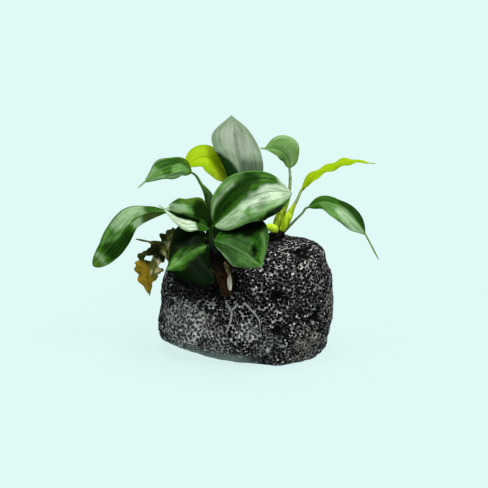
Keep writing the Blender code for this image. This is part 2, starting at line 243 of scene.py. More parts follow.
def blade_material(
    name, deep, mid, light, pale, shade=SHADE_GREEN, brown=OLIVE_BROWN, below=UNDERSIDE, rough=0.42
):
    """A leaf's skin: mottled, with faint paler veins and a paler rim. Where zone_light is set it is lighter,
    partly its own lighter green and partly painted light; where zone_pale is it has a painted sheen of
    reflected light and painted highlights; where zone_dark is it is painted in shade."""
    s = Shader(name)
    blade = s.attribute("blade", "Vector")
    vein_phase, place, from_rib = s.parts(blade)
    across = s.math("ABSOLUTE", place)
    streak = s.noise(UNITLESS, 3, place=s.stretched(blade, (0.30, 7.0, 0.0)))
    between_veins = s.math("ABSOLUTE", s.math("SUBTRACT", s.math("FRACT", vein_phase), 0.5))
    vein = s.times(s.span(between_veins, 0.40, 0.5), s.span(across, 0.0, 0.25, 0.3, 0.6))
    rib = s.span(from_rib, 0.35, 0.9, 0.8, 0.0)
    rim = s.span(across, 0.955, 0.985)
    mottle = s.times(s.span(streak, 0.32, 0.62, 0.45, 1.0), s.span(s.noise(2.2, 3), 0.25, 0.7, 0.75, 1.0))
    colour = s.mix(s.span(streak, 0.36, 0.64), deep, mid)
    # zone_light: a lighter green, partly the leaf's own and partly painted light where the blade is lit
    colour = s.mix(s.times(s.attribute("zone_light"), mottle), colour, light)
    # zone_pale: painted light, a pale sheen of reflected light and highlights
    colour = s.mix(s.times(s.attribute("zone_pale"), mottle), colour, pale)
    colour = s.mix(s.math("MAXIMUM", s.times(vein, VEIN_TINT), s.times(rib, RIB_TINT)), colour, light)
    # the rim: partly the leaf's own pale margin, partly a painted highlight along its edge
    colour = s.mix(s.times(rim, RIM_TINT), colour, light)
    blotches = s.span(s.noise(2.8, 3, 0.6), 0.35, 0.6, 0.5, 1.0)
    colour = s.mix(s.times(s.attribute("zone_brown"), blotches), colour, brown)
    # zone_dark: painted shade
    colour = s.mix(s.attribute("zone_dark"), colour, shade)
    colour = s.mix(s.times(s.attribute("under"), UNDERSIDE_TINT), colour, below)
    s.bump(s.math("ADD", s.noise(0.7, 2), s.times(vein, -0.8)), 0.02, 0.3)
    uneven = s.span(s.noise(5, 2), 0.3, 0.7, rough - 0.05, rough + 0.1)
    return s.finish(colour, uneven, Specular_IOR_Level=0.02)


def stem_material(name, dark, light, pitch=3.0, roughness=0.42, shaded=0.0):
    """A streaky skin, with painted shade towards the end of the stem by as much as shaded says."""
    s = Shader(name)
    streaks = s.noise(pitch * 0.4, 3, 0.6, s.stretched(s.place, (1, 1, 0.25)))
    colour = s.mix(s.span(streaks, 0.3, 0.7), dark, light)
    colour = s.mix(s.span(s.noise(pitch * 2, 2), 0.45, 0.75, 0.0, 0.5), colour, dark)
    colour = s.mix(s.span(s.attribute("share"), 0.3, 0.62, 0.0, shaded), colour, SHADE_GREEN)
    s.bump(streaks, 0.15, 0.5)
    return s.finish(colour, roughness, Specular_IOR_Level=0.04)


def sheath_material(name, above, below):
    """A stem of one pair of colours at its start and another further down, as on a stalk's sheath."""
    s = Shader(name)
    streaks = s.span(s.noise(1.6, 2, 0.5, s.stretched(s.place, (1, 1, 0.2))), 0.35, 0.65)
    sheathed = s.span(s.attribute("share"), 0.42, 0.62)
    s.bump(streaks, 0.08, 0.4)
    colour = s.mix(sheathed, s.mix(streaks, *above), s.mix(streaks, *below))
    return s.finish(colour, 0.5, Specular_IOR_Level=0.05)


def rhizome_material():
    """Dark red-brown bark, paler on its scars, green in places and black where it is shaded."""
    s = Shader("rhizome_skin")
    colour = s.mix(s.span(s.noise(2.2, 4, 0.6), 0.35, 0.65), BARK_DARK, BARK_RED)
    colour = s.mix(s.span(s.attribute("scar"), 0.5, 1.0, 0.0, 0.5), colour, BARK_SCAR)
    colour = s.mix(s.span(s.noise(6, 3), 0.55, 0.72, 0.0, 0.6), colour, BARK_GREEN)
    colour = s.mix(s.times(s.attribute("shaded"), 0.9), colour, BARK_SHADE)
    s.bump(s.noise(0.9, 4, 0.6), 0.3, 0.7)
    return s.finish(colour, 0.7, Specular_IOR_Level=0.03)


def stone_material():
    """Black porous stone: grey worn ridges, small pale specks, and pits black with the stone's own colour
    and with painted shade. Its cavities are painted black in shade, it is painted in shade where the leaves
    hang over it, and each part differs from one part of the stone to another."""
    s = Shader("stone_skin")
    pale, shade, brown = s.attribute("area_pale"), s.attribute("area_shade"), s.attribute("area_brown")
    fine = s.noise(1.3, 4, 0.6)
    calm = s.math("SUBTRACT", 1.0, s.times(brown, 0.45))
    ridge = s.mix(s.span(fine, 0.35, 0.68), STONE_DARK, STONE_GREY)
    grain = s.times(s.span(s.noise(3.0, 2, 0.5), 0.50, 0.60), calm)
    ridge = s.mix(s.times(grain, 0.85), ridge, STONE_GRAIN)
    ridge = s.mix(s.span(s.noise(14, 2), 0.4, 0.65, 0.0, 0.6), ridge, STONE_DULL)
    ridge = s.mix(pale, ridge, s.mix(s.span(s.noise(2.2, 3, 0.6), 0.42, 0.58), *STONE_SALT))
    earthy = s.times(brown, s.span(s.noise(3.4, 3), 0.36, 0.62, 0.25, 0.8))
    ridge = s.mix(earthy, ridge, STONE_EARTH)
    speck = s.times(s.span(s.cells(2.6), 0.17, 0.34, 1.0, 0.0), s.span(s.noise(4, 2), 0.40, 0.52))
    ridge = s.mix(s.times(s.times(speck, calm), 0.8), ridge, STONE_SPECK)
    # the pits: the stone's own black and painted shade; the cavities below are painted black in shade
    black = s.mix(s.times(pale, 0.5), PIT_BLACK_AND_SHADE, PIT_PALE)
    colour = s.mix(s.span(s.attribute("pit"), 0.02, 0.30), ridge, black)
    colour = s.mix(s.attribute("cavity"), colour, PIT_BLACK_AND_SHADE)
    # a teal grey over the smooth band along the stone's lower edge
    colour = s.mix(s.times(s.attribute("worn"), 0.9), colour, STONE_BAND_GREY)
    # painted shade where the leaves hang over the stone
    colour = s.mix(s.times(shade, 0.92), colour, STONE_SHADE)
    s.bump(s.math("ADD", fine, s.times(s.cells(0.9), 0.5)), 0.5, 0.8)
    return s.finish(colour, s.span(fine, 0.3, 0.7, 0.9, 0.7), Specular_IOR_Level=0.04)


GREEN = blade_material("blade_green", DEEP_GREEN, MID_GREEN, LIGHT_GREEN, PAINTED_SHEEN)
# its grey is partly the leaf's own dull green and partly a painted sheen of reflected light
GREY_GREEN = blade_material(
    "blade_grey_green", (0.085, 0.13, 0.078), (0.13, 0.18, 0.118), (0.17, 0.24, 0.15), (0.205, 0.24, 0.185),
    shade=(0.002, 0.013, 0.001), rough=0.5,
)
SOFT_GREEN = blade_material(
    "blade_soft_green", (0.072, 0.155, 0.036), (0.094, 0.188, 0.05), (0.13, 0.24, 0.07), (0.23, 0.33, 0.17),
    shade=(0.035, 0.09, 0.02), rough=0.5,
)
LIME = blade_material(
    "blade_lime", (0.155, 0.255, 0.001), (0.18, 0.285, 0.001), (0.24, 0.35, 0.004), (0.27, 0.38, 0.012),
    shade=(0.06, 0.14, 0.002), below=(0.13, 0.22, 0.004), rough=0.5,
)
WITHERED = blade_material(
    "blade_withered", (0.009, 0.018, 0.003), (0.034, 0.042, 0.008), (0.13, 0.13, 0.03), (0.50, 0.47, 0.28),
    shade=(0.003, 0.005, 0.001), brown=(0.23, 0.145, 0.010), rough=0.55,
)
STEM = stem_material("petiole_skin", (0.008, 0.036, 0.003), (0.038, 0.100, 0.014), shaded=0.72)
STEM_FRESH = stem_material("petiole_fresh_skin", (0.045, 0.080, 0.025), (0.14, 0.20, 0.10))
# a copy of the stalk's skin painted in shade, for stalks deep under the leaves
STEM_SHADED = stem_material("petiole_shaded_skin", (0.002, 0.008, 0.001), (0.012, 0.028, 0.008))
STEM_WITHERED = stem_material("petiole_withered_skin", (0.05, 0.05, 0.015), (0.16, 0.15, 0.05))
STEM_OLIVE = sheath_material(
    "petiole_olive_skin", ((0.06, 0.10, 0.03), (0.16, 0.22, 0.10)), ((0.05, 0.09, 0.002), (0.15, 0.22, 0.01))
)
STEM_SHEATH = sheath_material(
    "petiole_sheath_skin",
    ((0.08, 0.125, 0.03), (0.19, 0.26, 0.09)), ((0.15, 0.235, 0.003), (0.31, 0.42, 0.014)),
)
STUB = sheath_material(
    "root_stub_skin", ((0.06, 0.042, 0.014), (0.19, 0.16, 0.07)), ((0.30, 0.27, 0.20), (0.52, 0.48, 0.38))
)
RHIZOME = rhizome_material()
ROOT = stem_material("root_skin", (0.11, 0.115, 0.11), (0.27, 0.275, 0.26), 1.5, 0.7)
SHOOT = stem_material("shoot_skin", (0.23, 0.35, 0.004), (0.36, 0.50, 0.035), 6.0, 0.5)
STONE = stone_material()


# ---------------------------------------------------------------- leaves
BLADE_ROWS = 110
HALF_COLUMNS = 22
COLUMN_CROWDING = 1.45  # above 1 the columns of a blade's grid crowd towards its midrib
BLADE_THICKNESS = 0.75
MARGIN_THICKNESS = 0.3
NARROW_THINNING = (0.4, 0.1)  # half its thickness is at most this share of its half width, and this more
MARGINS_APART = 0.3  # how far the waves of its two margins are out of step, in waves
BLADE_ARCH = 0.06  # how far each half of a blade bulges up, as a share of its width
BASE_WIDTH = 0.55  # a blade's half width at its base, against that at its first fifth
BASE_ROUNDING = 0.15  # the share of a blade over which its base is rounded off
OUTLINE_LENGTH = 100.0  # nominal length along which a blade's half widths are joined smoothly
DRIP_TIP_HALF_WIDTH = 0.6
DRIP_TIP_END = 0.9  # the share of the midrib past which it thins to the tip
TIP_HALF_WIDTH = 0.25
TIP_REACH = 1.5  # a blade's relief fades out where its half width is less than this over the tip's
MIDRIB_GROOVE = (0.35, 0.55)  # depth and half width
MIDRIB_RIDGE = (0.7, 0.8)  # height and half width, on the underside
VEIN_PITCH = 4.2  # between lateral veins along the midrib
VEIN_RELIEF = 0.10
VEIN_LEVEL = 0.6  # how high the blade's own level lies between the veins and the quilted ground
VEIN_SWEEP = 0.24  # how far a lateral vein runs forward, as a share of the blade's length
VEIN_CURVE = 1.3  # above 1 it runs forward most near the margin
VEIN_STAGGER = 0.5  # how far the right half's veins are out of step with the left's, in pitches
VEIN_ONSET = 0.2  # the share of a half's width over which its veins rise from the midrib
EATEN_PITCH = 1.7  # between the bites in a withered margin
EATEN_NOISE = (-0.2, 0.5)  # noise at which the bites start and at which they are at their deepest
PATCH_BLUR = 0.035  # how softly a patch of colour ends, as a share of the blade's length
PATCH_JITTER = 0.03  # how uneven its edge is, the same
PATCH_PITCH = 5.0  # of that unevenness, mm
HALF_SHARE = 0.3  # a half width's usual size, as a share of the blade's length
PAST = 1.1  # a place across a blade that lies just past its margin

THIN = (0.2, 0.6, 0.7, 0.8, 0.8, 0.9)  # a stalk's radii from the blade to the rhizome
SLIM = (0.3, 0.7, 0.7, 0.75, 0.8, 0.9, 1.1)
PLAIN = (0.3, 0.9, 1.0, 1.1, 1.2, 1.5, 2.0)
SHEATHED = (0.3, 0.9, 0.9, 0.9, 1.1, 1.7, 2.7, 3.0, 2.6)
CROWN = (0.3, 0.8, 1.0, 2.6, 3.6, 3.9, 3.3)


@dataclass
class Leaf:
    """A blade along its midrib, seen with its upper side up and its tip ahead, and its stalk.

    A patch is a strength from 0 to 1 and an outline of points on the blade. A point's first
    number runs from 0 at the base to 1 at the tip, its second from -1 at the left margin to 1
    at the right one. Outlines may run past these."""

    midrib: tuple  # points from base to tip, mm
    face: tuple  # directions that the upper side looks in, from base to tip
    left: tuple  # half widths at 1/5, 2/5, 3/5 and 4/5 of the blade, mm
    right: tuple
    fold: tuple = (8, 8)  # how far each half rises from flat at the midrib, degrees
    tail: float = 0.0  # the share of the midrib's length that is a thin drip tip
    blunt: tuple = (0.0, 0.0)  # 1 rounds that half's tip off
    heading_reach: float = 0.01  # the share of the midrib on each side that sets its direction
    wave: float = 0.5  # height of the margin's waves, mm
    waves: float = 2.5  # how many along the blade
    ragged: float = 0.0  # how deep its margins are eaten, as a share of their width
    skin: bpy.types.Material = GREEN
    slot: str = "blade_green"
    # light patches are partly the leaf's own lighter green and partly painted light, pale ones a painted
    # sheen and painted highlights, dark ones painted shade
    light: tuple = ()  # patches
    pale: tuple = ()
    dark: tuple = ()
    brown: tuple = ()
    holes: tuple = ()  # outlines alone
    petiole: tuple = ()  # points of its stalk from the blade down to the rhizome, mm
    petiole_radii: tuple = PLAIN
    petiole_skin: bpy.types.Material = STEM
    petiole_slot: str = "petiole"


LIME_LEAF = {"skin": LIME, "slot": "blade_lime", "petiole_slot": "petiole_lime"}
WITHERED_LEAF = {
    "skin": WITHERED,
    "slot": "blade_withered",
    "petiole_radii": THIN,
    "petiole_skin": STEM_WITHERED,
    "petiole_slot": "petiole_withered",
}


def band(start, end, left=-PAST, right=PAST):
    """The outline of a rectangle on a blade, from start to end along it."""
    return (start, left), (start, right), (end, right), (end, left)


# In these patches light is partly the leaves' own lighter green and partly painted light, pale is a painted
# sheen of reflected light with painted highlights, and dark is painted shade.
LEAVES = {
    "top": Leaf(
        midrib=((-4, 0, 106), (-5, 3, 120), (-7, 11, 134), (-10, 24, 151)),
        face=((0, -1, 0.3), (0, -1, 0.4)),
        left=(8, 10.5, 14.5, 14),
        right=(15, 15.5, 13, 8),
        fold=(8, 12),
        skin=GREY_GREEN,
        slot="blade_grey_green",
        pale=(
            (0.8, ((0.93, -0.3), (0.9, 0.3), (0.62, 0.85), (0.42, 0.85), (0.42, 0.1), (0.55, -0.5),
                   (0.8, -0.7))),
        ),
        dark=(
            (1.0, ((0.54, -1.1), (0.50, -0.80), (0.42, -0.58), (0.33, -0.28), (0.22, 0.02), (0.12, 0.0),
                   (0.12, -1.1))),
            (0.8, ((0.17, -1.1), (0.19, 1.1), (-0.1, 1.1), (-0.1, -1.1))),
            (0.5, ((0.36, 0.1), (0.33, 1.1), (0.15, 1.1), (0.18, 0.0))),
            (0.5, band(0.3, 0.74, -0.02, 0.02)),
        ),
        petiole=((-4, -9, 96), (-3, -19, 89), (-2, -24.5, 80.6)),
    ),
    "lime_left": Leaf(
        midrib=((-12, 8, 111), (-17, 12, 120), (-27, 15, 125), (-41, 11, 120)),
        face=((-0.2, -0.6, 0.8),),
        left=(8, 9.5, 8.5, 6),
        right=(7, 8, 9, 8),
        fold=(0, 15),
        heading_reach=0.2,
        pale=(
            (0.9, ((0.0, -1.1), (0.0, 1.1), (0.3, 1.1), (0.34, -1.1))),
            (0.4, ((0.5, -0.6), (0.5, 0.7), (0.75, 0.8), (0.85, 0.2), (0.75, -0.6))),
        ),
        petiole=((-14, -2, 103), (-18, -16, 97), (-19, -29, 91), (-18.5, -33.5, 84)),
        petiole_radii=CROWN,
        **LIME_LEAF,
    ),
    "upper_left": Leaf(
        midrib=((-35, -4, 120), (-42, -7, 125), (-52, -11, 124), (-68, -18, 113)),
        face=((0, -0.6, 0.8), (-0.2, -0.7, 0.7)),
        left=(8, 11, 10.5, 6),
        right=(6, 6.5, 7, 3.3),
        fold=(5, 5),
        tail=0.12,
        light=(
            (0.8, ((0.05, -0.2), (0.1, -0.7), (0.42, -0.6), (0.38, -0.15), (0.25, 0.15), (0.08, 0.2))),
            (0.5, ((0.58, -1.1), (0.56, 0.2), (0.62, 1.1), (0.8, 1.1), (0.8, -1.1))),
        ),
        pale=(
            (0.12, ((0.1, -1.1), (0.1, -0.8), (0.35, -0.7), (0.62, -0.6), (0.85, -0.4), (0.85, -1.1))),
            (0.15, ((0.62, 0.1), (0.6, 1.1), (0.86, 1.1), (0.86, 0.1))),
            (0.4, ((0.3, 0.9), (0.6, 0.85), (0.6, 1.1), (0.3, 1.1))),
            (0.45, band(0.86, 1.1)),
        ),
        dark=((0.22, ((0.24, 0.2), (0.3, 0.8), (0.54, 0.85), (0.58, 0.2), (0.5, -0.3), (0.4, -0.25))),),
        brown=((0.6, ((-0.1, 0.3), (0.12, 0.3), (0.2, 0.8), (0.3, 1.1), (-0.1, 1.1))),),
        petiole=((-29, -11, 114), (-24, -20, 108), (-22.5, -28, 97), (-22, -32.5, 84)),
        petiole_radii=CROWN,
    ),
    "far_left": Leaf(
        midrib=((-50, -26, 100), (-60, -30, 100), (-71, -34, 97), (-80, -37, 86), (-95, -38, 68)),
        face=((-0.1, -0.5, 0.85), (-0.3, -0.85, 0.4), (-0.3, -0.9, 0.3)),
        left=(5.5, 7.5, 9, 8.5),
        right=(6, 9, 9.8, 6.3),
        fold=(5, 0),
        blunt=(0.7, 0.7),
        light=(
            (0.4, ((0.6, 1.1), (0.62, 0.3), (0.52, -0.1), (0.58, -0.2), (0.7, 0.3), (0.78, 0.6),
                   (0.78, 1.1))),
            (0.3, ((0.85, -1.1), (0.83, 1.1), (0.91, 1.1), (0.92, -1.1))),
            (0.6, ((0.22, 0.05), (0.2, 1.1), (0.6, 1.1), (0.62, 0.35), (0.5, -0.05), (0.42, -0.2),
                   (0.33, 0.0))),
        ),
        pale=(
            (0.32, ((0.22, 0.05), (0.2, 0.9), (0.56, 0.9), (0.58, 0.35), (0.5, -0.05), (0.42, -0.2),
                    (0.33, 0.0))),
            (0.35, ((0.3, -1.1), (0.3, -0.3), (0.42, -0.4), (0.44, -1.1))),
            (0.3, ((0.87, -1.1), (0.86, 1.1), (0.9, 1.1), (0.91, -1.1))),
        ),
        dark=(
            (0.75, ((0.46, -0.3), (0.46, -1.1), (0.8, -1.1), (0.82, 0.5), (0.76, 0.5), (0.66, -0.1))),
            (0.75, ((0.04, -1.1), (0.06, 0.0), (0.2, 0.1), (0.26, -0.3), (0.27, -1.1))),
            (0.5, band(0.1, 0.75, left=0.94)),
        ),
        brown=(
            (0.5, band(0.92, 1.1)),
            (0.7, ((0.08, -1.1), (0.1, -0.2), (0.2, -0.1), (0.25, -0.4), (0.26, -1.1))),
        ),
        petiole=((-43, -26, 98), (-34, -29, 93.5), (-29, -31.5, 87), (-25.2, -34, 82)),
        petiole_radii=(0.3, 0.9, 1.0, 1.1, 1.8, 2.9, 3.2),
    ),
    "middle_left": Leaf(
        midrib=((-24, -38, 92), (-32, -44, 98), (-42, -52, 103), (-53, -60, 112)),
        face=((0, -0.6, 0.8), (0, -0.5, 0.85)),
        left=(5.5, 9, 11, 8),
        right=(17, 15, 13.5, 9.5),
        fold=(0, 20),
        tail=0.1,
        light=((0.55, ((0.3, 0.15), (0.75, 0.2), (0.7, 0.7), (0.3, 0.7))),),
        pale=(
            (1.0, ((0.3, -0.2), (0.5, -0.16), (0.75, -0.16), (1.1, -0.16), (1.1, -1.1), (0.3, -1.1))),
            (0.3, ((0.4, 0.32), (0.55, 0.24), (0.85, 0.2), (0.84, 1.1), (0.6, 0.62), (0.42, 0.66))),
            (1.0, band(0.8, 1.1, left=0.05)),
        ),
        dark=(
            (0.85, ((-0.1, 0.1), (0.32, 0.1), (0.34, 0.66), (0.25, 0.85), (-0.1, 0.9))),
            (1.0, ((0.2, -0.1), (0.6, -0.12), (0.84, 0.0), (0.8, 0.12), (0.5, 0.2), (0.2, 0.14))),
        ),
        # the olive along the far margin is partly the underside showing there and partly painted light where
        # the margin catches it
        brown=((0.7, ((0.16, 0.86), (0.4, 0.8), (0.62, 0.78), (0.66, 1.1), (0.12, 1.1))),),
        petiole=((-23, -37.3, 88), (-24.5, -37.5, 84)),
    ),
    "centre": Leaf(
        midrib=((-20, -42, 95), (-10, -45, 104.5), (1, -47.5, 112.5), (13, -50.5, 118), (27, -54.5, 118.5)),
        face=((0, -0.8, 0.6), (0.1, -0.8, 0.6)),
        left=(15.5, 19, 16.5, 11),
        right=(11.5, 14.5, 17.5, 20),
        fold=(5, 15),
        blunt=(0.0, 1.0),
        heading_reach=0.2,
        light=(
            (0.7, ((0.04, -0.66), (0.2, -0.66), (0.42, -0.66), (0.55, -0.8), (0.55, -1.1), (0.0, -1.1))),
            (0.12, ((0.42, -0.25), (0.48, -0.7), (0.75, -0.9), (0.8, -0.6), (0.55, -0.25))),
            (1.0, ((-0.1, 0.04), (0.2, 0.04), (0.45, 0.0), (0.45, 1.1), (-0.1, 1.1))),
            (0.9, ((0.4, 0.4), (0.94, 0.4), (0.92, 0.7), (0.72, 0.84), (0.56, 0.96), (0.4, 0.96))),
        ),
        pale=(
            (0.55, ((0.0, 0.08), (0.4, 0.04), (0.4, 0.5), (0.42, 0.7), (0.2, 0.84), (0.0, 0.8))),
            (0.95, ((0.3, 0.1), (0.45, -0.06), (0.62, -0.2), (0.74, -0.36), (0.84, -0.5), (0.94, -0.4),
                    (0.92, 0.35), (0.6, 0.45), (0.4, 0.35))),
            (0.4, ((0.5, 0.4), (0.9, 0.3), (1.1, 0.3), (1.1, 0.7), (0.8, 0.6), (0.62, 0.7), (0.5, 0.65))),
            (0.75, ((0.84, -1.1), (0.9, 0.5), (1.1, 0.5), (1.1, -1.1))),
            (0.75, band(0.08, 0.42, -0.72, -0.64)),
        ),
        dark=(
            (0.7, ((0.04, -0.08), (0.2, -0.12), (0.42, -0.16), (0.56, -0.34), (0.64, -0.5), (0.68, -0.75),
                   (0.56, -0.94), (0.4, -0.62), (0.15, -0.6), (0.04, -0.4))),
            # painted shade: the outer part of the near half, rounded off at the tip, stands dark for the
            # shaded gap between this leaf and the sheath
            (1.0, ((0.6, 0.88), (0.7, 0.8), (0.82, 0.72), (0.93, 0.68), (0.96, 1.1), (0.6, 1.1))),
            (0.3, ((0.34, 0.6), (0.46, 0.55), (0.48, 0.85), (0.36, 0.9))),
            (0.6, ((-0.1, 0.9), (0.5, 0.92), (0.5, 1.1), (-0.1, 1.1))),
        ),
        petiole=((-22, -41, 89), (-21.5, -40, 84)),
    ),
    "lower": Leaf(
        midrib=((-20, -47, 87), (-12, -52, 86), (-3, -58, 83), (9, -64, 75)),
        face=((-0.1, -0.8, 0.55), (-0.1, -0.9, 0.3)),
        left=(15, 20, 22.5, 17),
        right=(6, 9, 10.5, 7),
        fold=(2, 0),
        light=(
            (0.7, ((0.66, -0.74), (0.66, -0.95), (1.1, -0.9), (1.0, -0.2), (0.84, -0.55))),
            (0.3, band(0.8, 1.1, left=0.0)),
        ),
        pale=(
            (0.4, ((0.02, 0.9), (0.5, 0.9), (0.7, 0.92), (0.7, 1.1), (0.02, 1.1))),
            (0.06, ((0.1, 0.0), (0.32, -0.4), (0.62, -0.42), (0.84, 0.0), (0.8, 0.84), (0.25, 0.8))),
        ),
        dark=(
            (1.0, ((0.1, -0.4), (0.3, -0.3), (0.5, -0.3), (0.6, -0.45), (0.64, -1.1), (0.03, -1.1))),
            (1.0, ((0.68, -0.12), (0.66, -0.40), (0.79, -0.40), (0.79, -0.12))),
            (0.3, ((0.34, 0.1), (0.38, -0.35), (0.62, -0.5), (0.64, 0.1))),
            (0.45, ((-0.1, 0.0), (0.25, 0.05), (0.6, 0.3), (0.6, 0.85), (-0.1, 0.85))),
        ),
        petiole=((-21.8, -45.9, 85.4), (-20.4, -44.9, 81.5), (-19.3, -44.3, 78.5)),
        petiole_radii=SLIM,
        petiole_skin=STEM_SHADED,
    ),
    "lower_left": Leaf(
        midrib=((-25, -45.5, 83), (-31, -49, 82), (-38, -53, 78), (-49, -58, 71)),
        face=((-0.3, -0.8, 0.5), (-0.3, -0.9, 0.3)),
        left=(17, 23, 22, 14),
        right=(18, 16, 10.5, 5),
        fold=(-5, 10),
        light=(
            (0.85, ((0.68, 0.3), (0.8, 0.46), (0.95, 0.33), (0.95, -0.2), (0.75, -0.12), (0.66, -0.1))),
            (0.2, ((0.44, 0.03), (0.58, 0.24), (0.72, 0.36), (0.72, -0.1), (0.5, -0.08))),
            (0.3, ((0.08, -0.02), (0.5, -0.04), (0.5, -0.14), (0.08, -0.18))),
        ),
        dark=(
            (0.97, ((-0.1, 0.05), (0.3, 0.09), (0.5, 0.36), (0.7, 0.62), (1.0, 0.9), (1.0, 1.1),
                    (-0.1, 1.1))),
            (1.0, ((-0.1, -0.17), (0.5, -0.2), (0.8, -0.3), (1.1, -0.5), (1.1, -1.1), (-0.1, -1.1))),
        ),
        petiole=((-23.2, -44.5, 81.8), (-23.9, -44, 78.5), (-24.8, -43.6, 75)),
        petiole_radii=SLIM,
        petiole_skin=STEM_SHADED,
    ),
    "withered_inner": Leaf(
        midrib=((-40, -20, 85), (-45, -24, 83), (-48, -28, 78), (-49, -31, 69)),
        face=((-0.4, -0.8, 0.4),),
        left=(6, 8, 7, 4),
        right=(6.5, 9, 8.5, 5),
        wave=1.3,
        waves=5,
        ragged=0.2,
        light=(
            (0.6, ((0.2, 0.2), (0.3, 0.5), (0.7, 0.3), (0.7, 0.1))),
            (0.7, ((0.6, 0.4), (0.66, 0.9), (0.9, 0.8), (0.9, 0.3))),
        ),
        pale=(
            (0.6, ((0.45, 0.1), (0.55, 0.3), (0.7, 0.25), (0.6, 0.0))),
            (0.6, ((0.74, 0.5), (0.8, 0.7), (0.88, 0.5), (0.8, 0.35))),
        ),
        dark=(
            (0.8, ((0.1, -1.1), (0.1, 0.1), (0.5, 0.1), (0.9, -0.3), (0.9, -1.1))),
            (0.8, ((0.3, 0.55), (0.42, 0.5), (0.5, 0.9), (0.36, 0.9))),
        ),
        holes=(
            ((0.35, -0.7), (0.5, -0.6), (0.55, -1.1), (0.3, -1.1)),
            ((0.5, 0.5), (0.6, 0.4), (0.66, 0.7), (0.55, 0.8)),
        ),
        petiole=((-34, -24, 84), (-29.2, -31, 81), (-26.4, -34, 76)),
        **WITHERED_LEAF,
    ),
    "withered_hanging": Leaf(
        midrib=((-54, -18, 77), (-58, -22, 71), (-62, -26, 62), (-61, -28, 46)),
        face=((-0.4, -0.85, 0.2),),
        left=(9, 13, 11, 4),
        right=(7, 9.5, 8, 4),
        fold=(20, 20),
        wave=1.6,
        waves=5,
        ragged=0.16,
        light=(
            (0.8, ((0.3, -0.1), (0.4, -1.1), (0.72, -1.1), (0.64, -0.3), (0.5, 0.0))),
            (0.5, band(0.7, 0.95, 0.3, 0.8)),
        ),
        pale=(
            (0.9, ((0.28, -0.5), (0.34, -0.75), (0.4, -0.6), (0.34, -0.42))),
            (0.9, ((0.44, -0.7), (0.5, -0.9), (0.56, -0.7), (0.48, -0.55))),
            (0.7, ((0.5, -0.35), (0.6, -0.5), (0.62, -0.3), (0.54, -0.2))),
            (0.8, ((0.24, -0.1), (0.3, -0.2), (0.32, 0.0), (0.27, 0.05))),
        ),
        dark=((0.75, ((-0.1, -1.1), (-0.1, 1.1), (0.26, 1.1), (0.3, 0.2), (0.28, -1.1))),),
        brown=(
            (0.9, ((0.46, -0.1), (0.4, 1.1), (0.9, 1.1), (1.1, 0.0), (0.85, -1.1), (0.68, -1.1),
                   (0.6, -0.3))),
        ),
        holes=(
            ((0.28, 0.1), (0.32, 0.5), (0.39, 0.45), (0.37, 0.0)),
            ((0.14, 0.6), (0.2, 0.8), (0.24, 1.2), (0.1, 1.2)),
            ((0.36, -0.8), (0.42, -0.7), (0.44, -1.2), (0.34, -1.2)),
        ),
        petiole=((-45, -19, 79), (-34, -25, 76), (-28, -32, 71), (-24, -36.5, 68)),
        **WITHERED_LEAF,
    ),
    "withered_upper": Leaf(
        midrib=((-48, -13, 73), (-56, -14, 75.5), (-62, -15, 77.5), (-70, -16, 79.5)),
        face=((0, -0.8, 0.6),),
        left=(4, 4, 3, 1.5),
        right=(2, 2.5, 2, 1),
        tail=0.3,
        petiole=((-38, -18, 72), (-28, -28, 68), (-21, -35, 64)),
        **WITHERED_LEAF,
    ),
    "right_small": Leaf(
        midrib=((27, 12, 119), (26, 12, 125), (22, 10, 130), (8.2, 6.9, 133)),
        face=((-0.1, -0.9, 0.3), (-0.3, -0.8, 0.5)),
        left=(3.5, 4.5, 4.2, 2.6),
        right=(6.5, 11, 10.5, 7),
        fold=(5, 3),
        tail=0.1,
        skin=SOFT_GREEN,
        slot="blade_pale",
        light=((0.9, ((0.02, 0.1), (0.05, 0.8), (0.5, 0.8), (0.65, 0.3), (0.4, 0.0))),),
        pale=(
            (0.6, band(0.3, 0.7, left=0.8)),
            (0.45, ((0.05, 0.2), (0.1, 0.5), (0.4, 0.5), (0.4, 0.2))),
        ),
        dark=((0.3, band(0.5, 0.72, 0.1, 0.7)),),
        petiole=((27.5, 9, 111), (25.5, 3, 99), (20.6, -1, 90), (17.9, -4.4, 82.6)),
        petiole_radii=(0.3, 0.8, 1.0, 1.0, 1.1, 1.6, 2.7, 2.9, 2.4),
        petiole_skin=STEM_OLIVE,
    ),
    "right_lime": Leaf(
        midrib=((35, 5, 107), (41, 7, 114.5), (50, 9, 119), (63, 11, 123.5), (82, 14, 121.5)),
        face=((-0.3, -0.25, 0.92),),
        left=(4, 3.4, 4, 2.2),
        right=(7, 6.2, 7.4, 3.2),
        fold=(5, 5),
        tail=0.04,
        wave=0.8,
        waves=4.5,
        pale=((0.3, band(0.05, 0.9, right=-0.7)),),
        dark=((0.25, band(0.3, 0.7, left=0.6)),),
        petiole=((33, 4, 102.5), (29, 1, 95.5), (25.8, -1, 89.5), (21.9, -2.2, 82.6)),
        petiole_radii=SHEATHED,
        petiole_skin=STEM_SHEATH,
        **LIME_LEAF,
    ),
    "right_hanging": Leaf(
        midrib=((39, -6, 98), (48, -8, 101.5), (58, -10, 98.5), (70, -13, 88), (83, -15, 66)),
        face=((0.1, -0.65, 0.75), (0.4, -0.7, 0.6)),
        left=(4.5, 5, 6.5, 5),
        right=(5.5, 9, 10, 8),
        fold=(5, 5),
        tail=0.28,
        light=(
            (0.6, ((0.08, 0.1), (0.28, -0.2), (0.5, -0.2), (0.7, 0.0), (1.1, -1.1), (1.1, 1.1), (0.2, 1.1))),
        ),
        pale=(
            (0.4, ((0.28, 0.1), (0.4, -0.1), (0.6, 0.0), (0.7, 0.1), (0.72, 1.1), (0.5, 1.0), (0.34, 0.6))),
        ),
        dark=(
